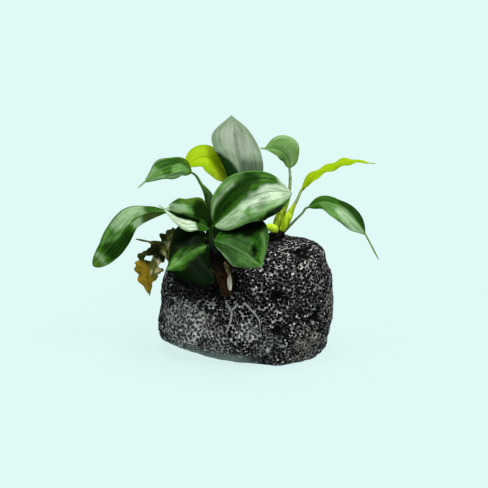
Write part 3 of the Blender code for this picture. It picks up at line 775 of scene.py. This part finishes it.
            (0.6, ((0.3, -0.4), (0.45, -0.2), (0.6, -0.15), (0.7, -0.4), (0.7, -1.1), (0.3, -1.1))),
            (0.4, band(0.36, 0.5, left=0.85)),
        ),
        petiole=((35.3, -5, 94), (31.3, -3.8, 89.5), (27.3, -2.4, 84.8), (23.6, -1.2, 80.6)),
        petiole_radii=SLIM,
        petiole_skin=STEM_FRESH,
    ),
}


def half_width(leaf, half, shares):
    """The half width of the blade's left (0) or right (1) half along its midrib: round at the
    base and running to the tip."""
    side = (leaf.left, leaf.right)[half]
    along = np.clip(shares / (1 - leaf.tail), 0, 1)
    stations = np.linspace(0, 1, len(side) + 2)
    widths = np.array((BASE_WIDTH * side[0], *side, 0.0))
    profile = smooth_curve(np.stack((stations * OUTLINE_LENGTH, widths), axis=1), along)[:, 1]
    rounding = np.sqrt(1 - (1 - np.clip(along / BASE_ROUNDING, 0, 1)) ** 2)
    steps = np.hypot(np.diff(stations) * OUTLINE_LENGTH, np.diff(widths))
    last = 1 - steps[-1] / steps.sum()
    fall = np.clip((along - last) / (1 - last), 0, 1)
    round_end = np.maximum(widths[-2] * np.sqrt(1 - fall**2), profile)
    profile = np.where(along > last, profile + leaf.blunt[half] * (round_end - profile), profile)
    drip_tip = (DRIP_TIP_HALF_WIDTH, DRIP_TIP_HALF_WIDTH, TIP_HALF_WIDTH)
    return np.maximum(profile * rounding, np.interp(shares, (0, DRIP_TIP_END, 1), drip_tip))


def outline_distance(outline, along, across):
    """How far each point of a blade is from an outline drawn on it, below 0 inside, as a share
    of the blade's length."""
    corners = np.array(outline) * (1, HALF_SHARE)
    points = np.stack((along, across * HALF_SHARE), axis=-1)
    inside = np.zeros(along.shape, bool)
    nearest = np.full(along.shape, np.inf)
    for a, b in zip(corners, np.roll(corners, -1, axis=0)):
        edge = b - a
        share = np.clip(((points - a) @ edge) / (edge @ edge), 0, 1)
        nearest = np.minimum(nearest, np.linalg.norm(points - a - share[..., None] * edge, axis=-1))
        rise = edge[1] or 1.0  # an edge along the blade is never crossed, so any number but 0 will do
        beside = points[..., 0] < a[0] + (points[..., 1] - a[1]) / rise * edge[0]
        inside ^= ((a[1] > points[..., 1]) != (b[1] > points[..., 1])) & beside
    return np.where(inside, -nearest, nearest)


def patch_sum(patches, along, across, rough):
    """How strongly each point of a blade lies in any of the patches, 0 to 1."""
    total = np.zeros_like(along)
    for amount, outline in patches:
        away = outline_distance(outline, along, across) + PATCH_JITTER * rough
        total = np.maximum(total, amount * smoothstep(PATCH_BLUR, -PATCH_BLUR, away))
    return total


def midrib_frame(leaf, shares):
    """Points along the midrib, and there the ways up from the blade and to its right."""
    reach = leaf.heading_reach
    ahead = unit(smooth_curve(leaf.midrib, shares + reach) - smooth_curve(leaf.midrib, shares - reach))
    faces = np.array(leaf.face, float)
    turns = np.linspace(0, 1, len(faces))
    up = np.stack([np.interp(shares, turns, faces[:, k]) for k in range(3)], axis=1)
    up = unit(up - np.sum(up * ahead, axis=1, keepdims=True) * ahead)
    return smooth_curve(leaf.midrib, shares), up, np.cross(ahead, up)


def middle_surface(leaf, seed, shares, places):
    """The surface midway between a blade's two faces as a grid, and the half width there."""
    middle, up, right = midrib_frame(leaf, shares)
    bites = [smoothstep(*EATEN_NOISE, noise_at(middle, EATEN_PITCH, seed + half)) for half in (0, 1)]
    columns, widths = [], []
    for place in places:
        half = int(place > 0)
        width = half_width(leaf, half, shares) * (1 - leaf.ragged * bites[half])
        lean = radians(leaf.fold[half])
        outward = right * (np.sign(place) * cos(lean)) + up * sin(lean)
        bulge = 4 * BLADE_ARCH * abs(place) * (1 - abs(place))
        phase = 2 * pi * (leaf.waves * shares + MARGINS_APART * half + seed)
        wave = leaf.wave * place**2 * np.sin(phase) * np.sin(pi * shares)
        rise = up * (width * bulge + wave)[:, None]
        columns.append(middle + outward * (width * abs(place))[:, None] + rise)
        widths.append(width)
    return np.stack(columns, axis=1), np.stack(widths, axis=1)


def blade_grid(leaf, seed):
    """The blade's two faces as grids of points, and what its skin needs to know of each."""
    shares = np.linspace(0, 1, BLADE_ROWS + 1)
    even = np.linspace(-1, 1, 2 * HALF_COLUMNS + 1)
    places = np.sign(even) * np.abs(even) ** COLUMN_CROWDING
    surface, width = middle_surface(leaf, seed, shares, places)
    length = np.linalg.norm(np.diff(surface[:, HALF_COLUMNS], axis=0), axis=1).sum()
    normals = unit(np.cross(np.gradient(surface, axis=1), np.gradient(surface, axis=0)))
    along, across = np.meshgrid(shares, places, indexing="ij")
    outward = np.abs(across)
    from_rib = outward * width
    phase = (along - VEIN_SWEEP * outward**VEIN_CURVE) * length / VEIN_PITCH + VEIN_STAGGER * (across > 0)
    taper = np.sqrt(np.clip(1 - along, 0, 1)) * smoothstep(0, TIP_REACH, width - TIP_HALF_WIDTH)
    quilt = VEIN_RELIEF * (np.abs(np.sin(pi * phase)) - VEIN_LEVEL) * smoothstep(0, VEIN_ONSET, outward)
    quilt *= (1 - outward**4) * taper
    groove = MIDRIB_GROOVE[0] * np.exp(-((from_rib / MIDRIB_GROOVE[1]) ** 2)) * taper
    ridge = MIDRIB_RIDGE[0] * np.exp(-((from_rib / MIDRIB_RIDGE[1]) ** 2)) * taper
    half = (BLADE_THICKNESS + (MARGIN_THICKNESS - BLADE_THICKNESS) * across**2) / 2
    half = np.minimum(half, NARROW_THINNING[0] * width + NARROW_THINNING[1])
    top = surface + normals * (half + quilt - groove)[..., None]
    bottom = surface - normals * (half - quilt + ridge)[..., None]
    rough = noise_at(surface.reshape(-1, 3), PATCH_PITCH, seed).reshape(along.shape)
    zones = {}
    for kind in ("light", "pale", "dark", "brown"):
        zones[f"zone_{kind}"] = patch_sum(getattr(leaf, kind), along, across, rough)
    blade = np.stack((phase, across, from_rib), axis=-1)
    return top, bottom, blade, zones, (along, across, rough)


def kept_quads(leaf, grid):
    """Which squares of the blade's grid are there: all but those in its holes."""
    along, across, rough = grid
    kept = np.ones(along.shape, bool)
    for outline in leaf.holes:
        kept &= outline_distance(outline, along, across) + PATCH_JITTER * rough > 0
    return kept[:-1, :-1] & kept[1:, :-1] & kept[:-1, 1:] & kept[1:, 1:]


def sheet_faces(kept):
    """The quads of a closed sheet over the kept squares: top, underside and all its edges."""
    rows, columns = kept.shape
    spot = np.arange((rows + 1) * (columns + 1)).reshape(rows + 1, columns + 1)
    below = spot.size
    ring = np.stack((spot[:-1, :-1], spot[:-1, 1:], spot[1:, 1:], spot[1:, :-1]), axis=-1)
    faces = [ring[kept], ring[kept][:, ::-1] + below]
    padded = np.pad(kept, 1)
    for (down, over), (a, b) in (((-1, 0), (0, 1)), ((0, 1), (1, 2)), ((1, 0), (2, 3)), ((0, -1), (3, 0))):
        beyond = padded[1 + down : rows + 1 + down, 1 + over : columns + 1 + over]
        edge = ring[kept & ~beyond]
        faces.append(np.stack((edge[:, b], edge[:, a], edge[:, a] + below, edge[:, b] + below), axis=-1))
    return np.concatenate(faces)


def add_blade(name, leaf, seed):
    top, bottom, blade, zones, grid = blade_grid(leaf, seed)
    faces = sheet_faces(kept_quads(leaf, grid))
    points = np.concatenate((top.reshape(-1, 3), bottom.reshape(-1, 3)))
    used, faces = np.unique(faces, return_inverse=True)
    faces = faces.reshape(-1, 4).tolist()
    attributes = {key: np.tile(values.ravel(), 2)[used] for key, values in zones.items()}
    attributes["under"] = np.repeat((0.0, 1.0), top[..., 0].size)[used]
    vectors = {"blade": np.tile(blade.reshape(-1, 3), (2, 1))[used]}
    nodes = (f"leaf_{name}",)
    add_piece(f"blade_{name}", points[used], faces, leaf.skin, nodes, attributes, vectors)


# ---------------------------------------------------------------- stems
FIRST_SIDE = (0.3, 0.9, 0.2)  # a direction that no stem starts in
CAP_RINGS = 3  # of points that round off each end of a stem
CAP_LENGTH = 0.7  # how far its round end reaches, in radii
HEADING_SHARE = 0.03  # the share of a midrib over which its direction at the base is read
STALK_START = 0.14  # the share of a midrib that its stalk runs on under
STALK_LEAD_IN = 2.0  # how far behind the base of the blade a stalk is still in line with it, mm
STALK_DROPS = (0.5, 0.7, 0.3)  # how far below the blade's level it starts, passes the base and leaves


def tube(route, radii, sides, rings, seed=0.0, lump=0.0, pitch=3.0):
    """A closed stem with round ends along a smooth route: its points, faces and shares."""
    shares = np.linspace(0, 1, rings)
    centres = smooth_curve(route, shares)
    width = np.interp(shares, np.linspace(0, 1, len(radii)), radii)
    ahead = unit(np.gradient(centres, axis=0))
    side = unit(np.cross(ahead[0], FIRST_SIDE))
    across = []
    for way in ahead:
        side = unit(side - way * np.dot(side, way))
        across.append(side)
    across = np.array(across)
    other = np.cross(ahead, across)

    def loop(i, bend=0.0, way=1):
        """The middle, radius and number of a ring, bend up the round end that lies that way."""
        beyond = ahead[i] * width[i] * sin(bend) * CAP_LENGTH
        return centres[i] + way * beyond, width[i] * cos(bend), i

    bends = np.linspace(pi / 2, 0, CAP_RINGS + 1, endpoint=False)[1:]
    loops = [loop(0, bend, -1) for bend in bends]
    loops += [loop(i) for i in range(rings)]
    loops += [loop(-1, bend) for bend in bends[::-1]]
    around = np.linspace(0, 2 * pi, sides, endpoint=False)
    points, at = [], []
    for place, radius, i in loops:
        circle = np.cos(around)[:, None] * across[i] + np.sin(around)[:, None] * other[i]
        points.append(place + radius * circle)
        at.append(np.full(sides, shares[i]))
    points = np.concatenate(points)
    if lump:
        centre = np.repeat(np.array([place for place, _, _ in loops]), sides, axis=0)
        points = points + unit(points - centre) * (lump * noise_at(points, pitch, seed))[:, None]
    grid = np.arange(len(points)).reshape(len(loops), sides)
    next_side = np.roll(grid, -1, axis=1)
    quads = np.stack((grid[:-1], next_side[:-1], next_side[1:], grid[1:]), axis=-1).reshape(-1, 4)
    faces = quads.tolist() + [grid[0, ::-1].tolist(), grid[-1].tolist()]
    return points, faces, np.concatenate(at)


def add_stem(name, nodes, route, radii, skin, slot, sides=14, rings=40, rules=None, **shape):
    """A stem. rules says how its further attributes follow from the shares along it."""
    points, faces, at = tube(route, radii, sides, rings, **shape)
    attributes = {"share": at}
    for key, rule in (rules or {}).items():
        attributes[key] = rule(at)
    add_piece(name, points, faces, skin, nodes, attributes)


def add_petiole(name, leaf):
    """A stalk that runs on for a short way under its midrib."""
    base, next_point, under = smooth_curve(leaf.midrib, np.array((0.0, HEADING_SHARE, STALK_START)))
    ahead = unit(next_point - base)
    up = np.array(leaf.face[0], float)
    up = unit(up - np.dot(up, ahead) * ahead)
    inline = (under, base + ahead, base - ahead * STALK_LEAD_IN)
    route = [place - up * drop for place, drop in zip(inline, STALK_DROPS)] + list(leaf.petiole)
    nodes = (f"petiole_{name}",)
    add_stem(f"stalk_{name}", nodes, route, leaf.petiole_radii, leaf.petiole_skin, leaf.petiole_slot)


# Routes, the rhizome's from its old end and its branch's from the fork, and radii along each
RHIZOMES = {
    "rhizome": (
        ((-12.5, -42, 51.5), (-13.5, -41, 60), (-17, -39, 70), (-21, -37, 78), (-21.5, -36.5, 83)),
        (3.0, 5.0, 5.6, 5.7, 5.2),
    ),
    "rhizome_branch": (
        ((-13.4, -34.6, 74), (-7, -28, 75), (1, -20, 76), (9, -12, 77.6), (16, -5.5, 78.6), (22, -2, 79)),
        (3.8, 4.2, 4.2, 3.6, 3.0, 2.7),
    ),
}
SCAR_COUNT = 9
SCAR_SHARPNESS = 8
# Shares along each rhizome between which its bark is painted black in shade: the branch is in painted shade
# all along.
SHADE_SPANS = {"rhizome": (0.35, 0.65), "rhizome_branch": (-1.0, -0.5)}


def scars(at):
    """Where the rings left by old leaves lie along a rhizome."""
    return np.abs(np.sin(pi * SCAR_COUNT * at)) ** SCAR_SHARPNESS


def add_rhizomes():
    for name, (route, radii) in RHIZOMES.items():
        rules = {"scar": scars, "shaded": lambda at, ends=SHADE_SPANS[name]: smoothstep(*ends, at)}
        add_stem(
            f"{name}_bark", (name,), route, radii, RHIZOME, "rhizome",
            sides=40, rings=90, rules=rules, lump=0.7, pitch=3.2, seed=2.0,
        )


# ---------------------------------------------------------------- the stone
STONE_MIDDLE = np.array((0.0, -8.0, 44.0))  # nearer the front and top, whose faces get the finer grid
STONE_GRID = 128
SMOOTH_LEVELS = 2
WELD_DISTANCE = 0.02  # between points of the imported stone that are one
BAND_HEIGHTS = (11.0, 5.0)  # between which the smooth worn band along the stone's lower edge starts
BAND_ENDS = (12.0, -10.0)  # between which it starts on its way to the left
BAND_UNEVENNESS = 3.0
BAND_SMOOTHING = 0.85  # how much of the relief is worn off there
BASE_BLEND = 2.5  # height above the base over which the relief sets in
AREA_SMOOTHING = 0.45  # how much of the relief is missing in the pale and the brown areas
AREA_EDGE = (1.1, 0.6)  # where an area fades in, in radii
AREA_UNEVENNESS = 0.35
# A point in each cavity, its radius and its depth
CAVITIES = (
    ((32.5, -15.5, 68), 6.0, 6.0),
    ((43.5, -24.5, 30.5), 5.5, 4.5),
    ((24, -44, 49), 4.2, 4.0),
    ((21.5, -42, 22.5), 3.8, 3.2),
    ((50, 4, 44), 6.0, 4.0),
    ((30, 40, 44), 7.0, 4.5),
    ((6, 42, 22), 6.0, 4.0),
    ((-24, 42, 40), 6.0, 4.5),
    ((-46, 24, 18), 6.0, 4.0),
    ((-46, 18, 56), 5.5, 4.0),
    ((4, 22, 76), 6.0, 4.0),
)
PIT_SEED = 11
PIT_RADII = (0.75, 1.55)  # smallest and largest of the pits that cover the stone
PIT_SIZE_NOISE = (-0.5, 0.6)  # the noise that gives these
PIT_VARIETY = (0.8, 1.15)  # how much neighbours differ, as factors
PIT_SPACING = 1.75  # between neighbouring pits, in radii
PIT_DEPTH = 1.15  # in radii
PIT_REACH = 1.3  # how far a ragged pit may open, in radii
PIT_EDGE = 0.30  # how ragged the outline of a pit or cavity is
WALL_CURVE = 0.7  # under 1 gives pits and cavities steep walls
# a cavity's darkness is painted shade
CAVITY_RIM = 0.4  # how far in a cavity is fully dark, 0 at its edge and 1 at its middle

# Noise over the stone: its pitch in mm and its seed
RAGGED_NOISE = (1.1, 1.0)
SIZE_NOISE = (6.0, 3.0)
BAND_NOISE = (12.0, 4.0)
AREA_NOISE = (7.0, 5.0)
GRAIN_NOISES = ((0.45, 2.4, 7.0), (0.25, 1.2, 9.0))  # with its height first

# Areas of the stone that look different: a point in the middle of each, its radius, how strong. area_shade
# is painted shade where the leaves hang over the stone.
AREAS = {
    "area_pale": (
        ((-38, -26, 26), 20, 1.0),
        ((-1, -40, 25), 9, 1.0),
        ((-20, -38, 16), 12, 0.6),
        ((13, -42, 15), 12, 0.45),
    ),
    "area_shade": (((-30, -28, 64), 24, 1.0), ((-14, -34, 60), 12, 0.9), ((-6, -40, 57), 9, 0.9)),
    "area_brown": (((40, -30, 8), 16, 1.0), ((54, -10, 38), 11, 1.0)),
}


def ball_grid(count):
    """An even grid of directions on a ball, as a cube's six sides blown up, and its quads."""
    places = {}
    directions, faces = [], []
    for axis, side, i, j in product(range(3), (0, count), range(count), range(count)):
        ring = [(i, j), (i + 1, j), (i + 1, j + 1), (i, j + 1)]
        if side == 0:
            ring.reverse()
        face = []
        for a, b in ring:
            spot = ((side, a, b), (b, side, a), (a, b, side))[axis]
            if spot not in places:
                places[spot] = len(directions)
                directions.append(spot)
            face.append(places[spot])
        faces.append(face)
    grid = np.array(directions) / count * 2 - 1
    return unit(np.tan(grid * pi / 4)), faces


def smooth_stone_tree():
    """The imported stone's surface, smoothed, to cast rays at. In metres."""
    work = bmesh.new()
    work.from_mesh(NODES["stone"].data)
    bmesh.ops.remove_doubles(work, verts=work.verts, dist=WELD_DISTANCE * MM)
    mesh = bpy.data.meshes.new("stone_cage")
    work.to_mesh(mesh)
    work.free()
    cage = add_object("stone_cage", mesh)
    smooth = cage.modifiers.new("smooth", "SUBSURF")
    smooth.levels = SMOOTH_LEVELS
    smooth.render_levels = SMOOTH_LEVELS
    tree = BVHTree.FromObject(cage, bpy.context.evaluated_depsgraph_get())
    bpy.data.objects.remove(cage)
    return tree


def stone_form(directions):
    """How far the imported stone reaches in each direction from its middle, in mm."""
    middle = Vector(STONE_MIDDLE * MM)
    return np.array([STONE_TREE.ray_cast(middle, Vector(d))[3] for d in directions]) / MM


def scatter_pits(points, sizes, rng):
    """Numbers of the points where pits open: in random order, none too near another."""
    cell = PIT_RADII[1] * PIT_SPACING
    taken = {}
    chosen = []
    for i in rng.permutation(len(points)):
        x, y, z = points[i]
        home = (int(x // cell), int(y // cell), int(z // cell))
        least = (sizes[i] * PIT_SPACING) ** 2
        near = False
        for a, b, c in product((-1, 0, 1), repeat=3):
            for u, v, w in taken.get((home[0] + a, home[1] + b, home[2] + c), ()):
                near = near or (x - u) ** 2 + (y - v) ** 2 + (z - w) ** 2 < least
        if not near:
            taken.setdefault(home, []).append((x, y, z))
            chosen.append(i)
    return chosen


def open_pits(points, ragged):
    """How far into a pit each point of the stone lies, 0 to 1, and how deep it sinks there."""
    rng = np.random.default_rng(PIT_SEED)
    tree = KDTree(len(points))
    for i, p in enumerate(points):
        tree.insert(p, i)
    tree.balance()
    sizes = np.interp(noise_at(points, *SIZE_NOISE), PIT_SIZE_NOISE, PIT_RADII)
    pit = np.zeros(len(points))
    sunk = np.zeros(len(points))
    for i in scatter_pits(points, sizes, rng):
        radius = sizes[i] * rng.uniform(*PIT_VARIETY)
        for _, j, away in tree.find_range(points[i], radius * PIT_REACH):
            inside = 1 - (away / radius * (1 + PIT_EDGE * ragged[j])) ** 2
            if inside > 0:
                pit[j] = max(pit[j], inside)
                sunk[j] = max(sunk[j], PIT_DEPTH * radius * inside**WALL_CURVE)
    return pit, sunk


def open_cavities(directions, radii, ragged):
    """How far into a cavity each point of the stone lies, 0 to 1, and how deep it sinks there."""
    cavity = np.zeros(len(directions))
    sunk = np.zeros(len(directions))
    for spot, radius, depth in CAVITIES:
        towards = unit(np.array(spot) - STONE_MIDDLE)
        away = np.linalg.norm(directions - towards, axis=1) * radii
        inside = np.clip(1 - (away / radius * (1 + PIT_EDGE * ragged)) ** 2, 0, 1)
        cavity = np.maximum(cavity, smoothstep(0.0, CAVITY_RIM, inside))
        sunk = np.maximum(sunk, depth * inside**WALL_CURVE)
    return cavity, sunk


def find_areas(points):
    """How strongly each point of the stone lies in each kind of area, 0 to 1."""
    uneven = noise_at(points, *AREA_NOISE)
    areas = {}
    for area, spots in AREAS.items():
        areas[area] = np.zeros(len(points))
        for spot, radius, amount in spots:
            away = np.linalg.norm(points - spot, axis=1) / radius + AREA_UNEVENNESS * uneven
            areas[area] = np.maximum(areas[area], amount * smoothstep(*AREA_EDGE, away))
    return areas


def add_stone():
    """The stone: its packed form with thousands of pits, grains and a worn lower edge."""
    directions, faces = ball_grid(STONE_GRID)
    radii = stone_form(directions)
    points = directions * radii[:, None] + STONE_MIDDLE
    worn = smoothstep(*BAND_HEIGHTS, points[:, 2] + BAND_UNEVENNESS * noise_at(points, *BAND_NOISE))
    worn *= smoothstep(*BAND_ENDS, points[:, 0])
    ragged = noise_at(points, *RAGGED_NOISE)
    pit, pits_sunk = open_pits(points, ragged)
    cavity, cavities_sunk = open_cavities(directions, radii, ragged)
    areas = find_areas(points)
    grain = sum(height * noise_at(points, pitch, seed) for height, pitch, seed in GRAIN_NOISES)
    fade = (1 - BAND_SMOOTHING * worn) * smoothstep(0.0, BASE_BLEND, points[:, 2])
    fade *= 1 - AREA_SMOOTHING * np.maximum(areas["area_pale"], areas["area_brown"])
    radii = radii - (np.maximum(pits_sunk, cavities_sunk) - grain) * fade
    points = directions * radii[:, None] + STONE_MIDDLE
    points[:, 2] = np.maximum(points[:, 2], 0)
    attributes = {"pit": pit * fade, "worn": worn, "cavity": cavity * fade, **areas}
    add_piece("stone_skin", points, faces, STONE, ("stone",), attributes)


# ---------------------------------------------------------------- roots and the young shoot
ROOT_HEIGHT = 1.1  # of a root's middle above the stone
# Roots that creep down the stone's front: points near its surface, and radii
ROOTS = {
    "root_left": (
        ((-15, -46, 47), (-13, -46, 43), (-12, -46, 38), (-13, -46, 30), (-15, -46, 26)),
        (0.8, 0.8, 0.4),
    ),
    "root_middle": (((-6, -46, 45.8), (-9, -46, 42), (-11.2, -46, 39)), (0.8, 0.8, 0.8)),
    "root_right": (((-4, -46, 46), (2, -46, 40), (7, -46, 34), (9, -46, 29)), (0.6, 0.6, 0.35)),
}


def add_roots():
    for name, (route, radii) in ROOTS.items():
        clinging = []
        for point in route:
            place, normal, _, _ = STONE_TREE.find_nearest(Vector(point) * MM)
            clinging.append(np.array(place + normal * ROOT_HEIGHT * MM) / MM)
        shape = {"sides": 10, "rings": 60, "lump": 0.2, "pitch": 2.0}
        add_stem(f"{name}_skin", (name,), clinging, radii, ROOT, "root", **shape)


def add_root_stub():
    top = ((-14, -42.5, 71.5), (-12.4, -46, 69.3), (-10.9, -47.8, 65))
    route = (*top, (-10.8, -48, 60.5), (-10.5, -47.7, 56))
    radii = (1.0, 1.3, 1.3, 0.8, 1.4, 1.5, 1.0)
    shape = {"rings": 50, "lump": 0.15, "pitch": 2.0}
    add_stem("root_stub_skin", ("root_stub",), route, radii, STUB, "root_stub", **shape)


def add_shoot():
    route = ((18.6, -9.2, 82.8), (17.6, -10.6, 84.6), (14.8, -12, 86.0), (10.8, -13, 86.6))
    radii = (1.2, 2.1, 2.6, 2.8, 2.6, 2.0, 0.9)
    shape = {"sides": 24, "lump": 0.15, "pitch": 4.0}
    add_stem("shoot_skin", ("shoot",), route, radii, SHOOT, "shoot", **shape)


# ---------------------------------------------------------------- build
LEAF_SEED_STEP = 0.37

STONE_TREE = smooth_stone_tree()
add_stone()
add_rhizomes()
for number, (leaf_name, leaf) in enumerate(LEAVES.items()):
    add_blade(leaf_name, leaf, LEAF_SEED_STEP * number)
    add_petiole(leaf_name, leaf)
add_roots()
add_root_stub()
add_shoot()

# ---------------------------------------------------------------- floor, light and camera
PHOTO_PIXELS = 488
PIXEL_SIZE = 0.65  # mm at the stone's middle
ELEVATION = radians(15)
DISTANCE = 1100.0
BASE_PIXEL = (247, 351)  # where the origin, the middle of the stone's base, lies in the photograph
SENSOR = 36.0
CLIP_END = 20.0  # m
FLOOR_REACH = 6.0  # m to each side
FLOOR_COLOUR = (0.040, 0.051, 0.049)  # dark, so that the shadow stays faint: its glow makes it pale
FLOOR_GLOW = (0.655, 0.835, 0.812)
FLOOR_ROUGHNESS = 0.9
STUDIO_COLOUR = (1.0, 0.98, 0.94, 1)
STUDIO_STRENGTH = 0.35
# The direction each large soft lamp shines from, its strength and how many degrees across it is
LAMPS = {
    "overhead": ((-0.05, -0.12, 1.0), 3.6, 40),
    "key": ((0.45, -0.8, 1.0), 3.2, 20),
    "fill": ((-0.6, -1.0, 0.4), 0.3, 50),
}

look = Vector((0, cos(ELEVATION), -sin(ELEVATION)))
screen_up = Vector((0, sin(ELEVATION), cos(ELEVATION)))
target = Vector((1, 0, 0)) * ((PHOTO_PIXELS / 2 - BASE_PIXEL[0]) * PIXEL_SIZE)
target += screen_up * ((BASE_PIXEL[1] - PHOTO_PIXELS / 2) * PIXEL_SIZE)
lens = bpy.data.cameras.new("camera")
lens.sensor_width = SENSOR
lens.lens = SENSOR * DISTANCE / (PHOTO_PIXELS * PIXEL_SIZE)
lens.clip_end = CLIP_END
camera = add_object("camera", lens)
camera.location = (target - look * DISTANCE) * MM
camera.rotation_euler = look.to_track_quat("-Z", "Y").to_euler()
bpy.context.scene.camera = camera

corners = [(x * FLOOR_REACH, y * FLOOR_REACH, 0) for x, y in ((-1, -1), (1, -1), (1, 1), (-1, 1))]
floor_mesh = bpy.data.meshes.new("floor")
floor_mesh.from_pydata(corners, [], [(0, 1, 2, 3)])
glow = {"Emission_Color": FLOOR_GLOW, "Emission_Strength": 1.0}
floor_skin = Shader("floor_skin").finish(FLOOR_COLOUR, FLOOR_ROUGHNESS, Specular_IOR_Level=0.0, **glow)
floor_mesh.materials.append(floor_skin)
floor = add_object("floor", floor_mesh)

world = bpy.data.worlds.new("studio")
world.use_nodes = True
background = world.node_tree.nodes["Background"]
background.inputs["Color"].default_value = STUDIO_COLOUR
background.inputs["Strength"].default_value = STUDIO_STRENGTH
bpy.context.scene.world = world

for lamp_name, (direction, strength, width) in LAMPS.items():
    lamp = bpy.data.lights.new(lamp_name, "SUN")
    lamp.energy = strength
    lamp.angle = radians(width)
    light = add_object(lamp_name, lamp)
    light.rotation_euler = (-Vector(direction)).to_track_quat("-Z", "Y").to_euler()

bpy.context.scene.view_settings.view_transform = "Standard"
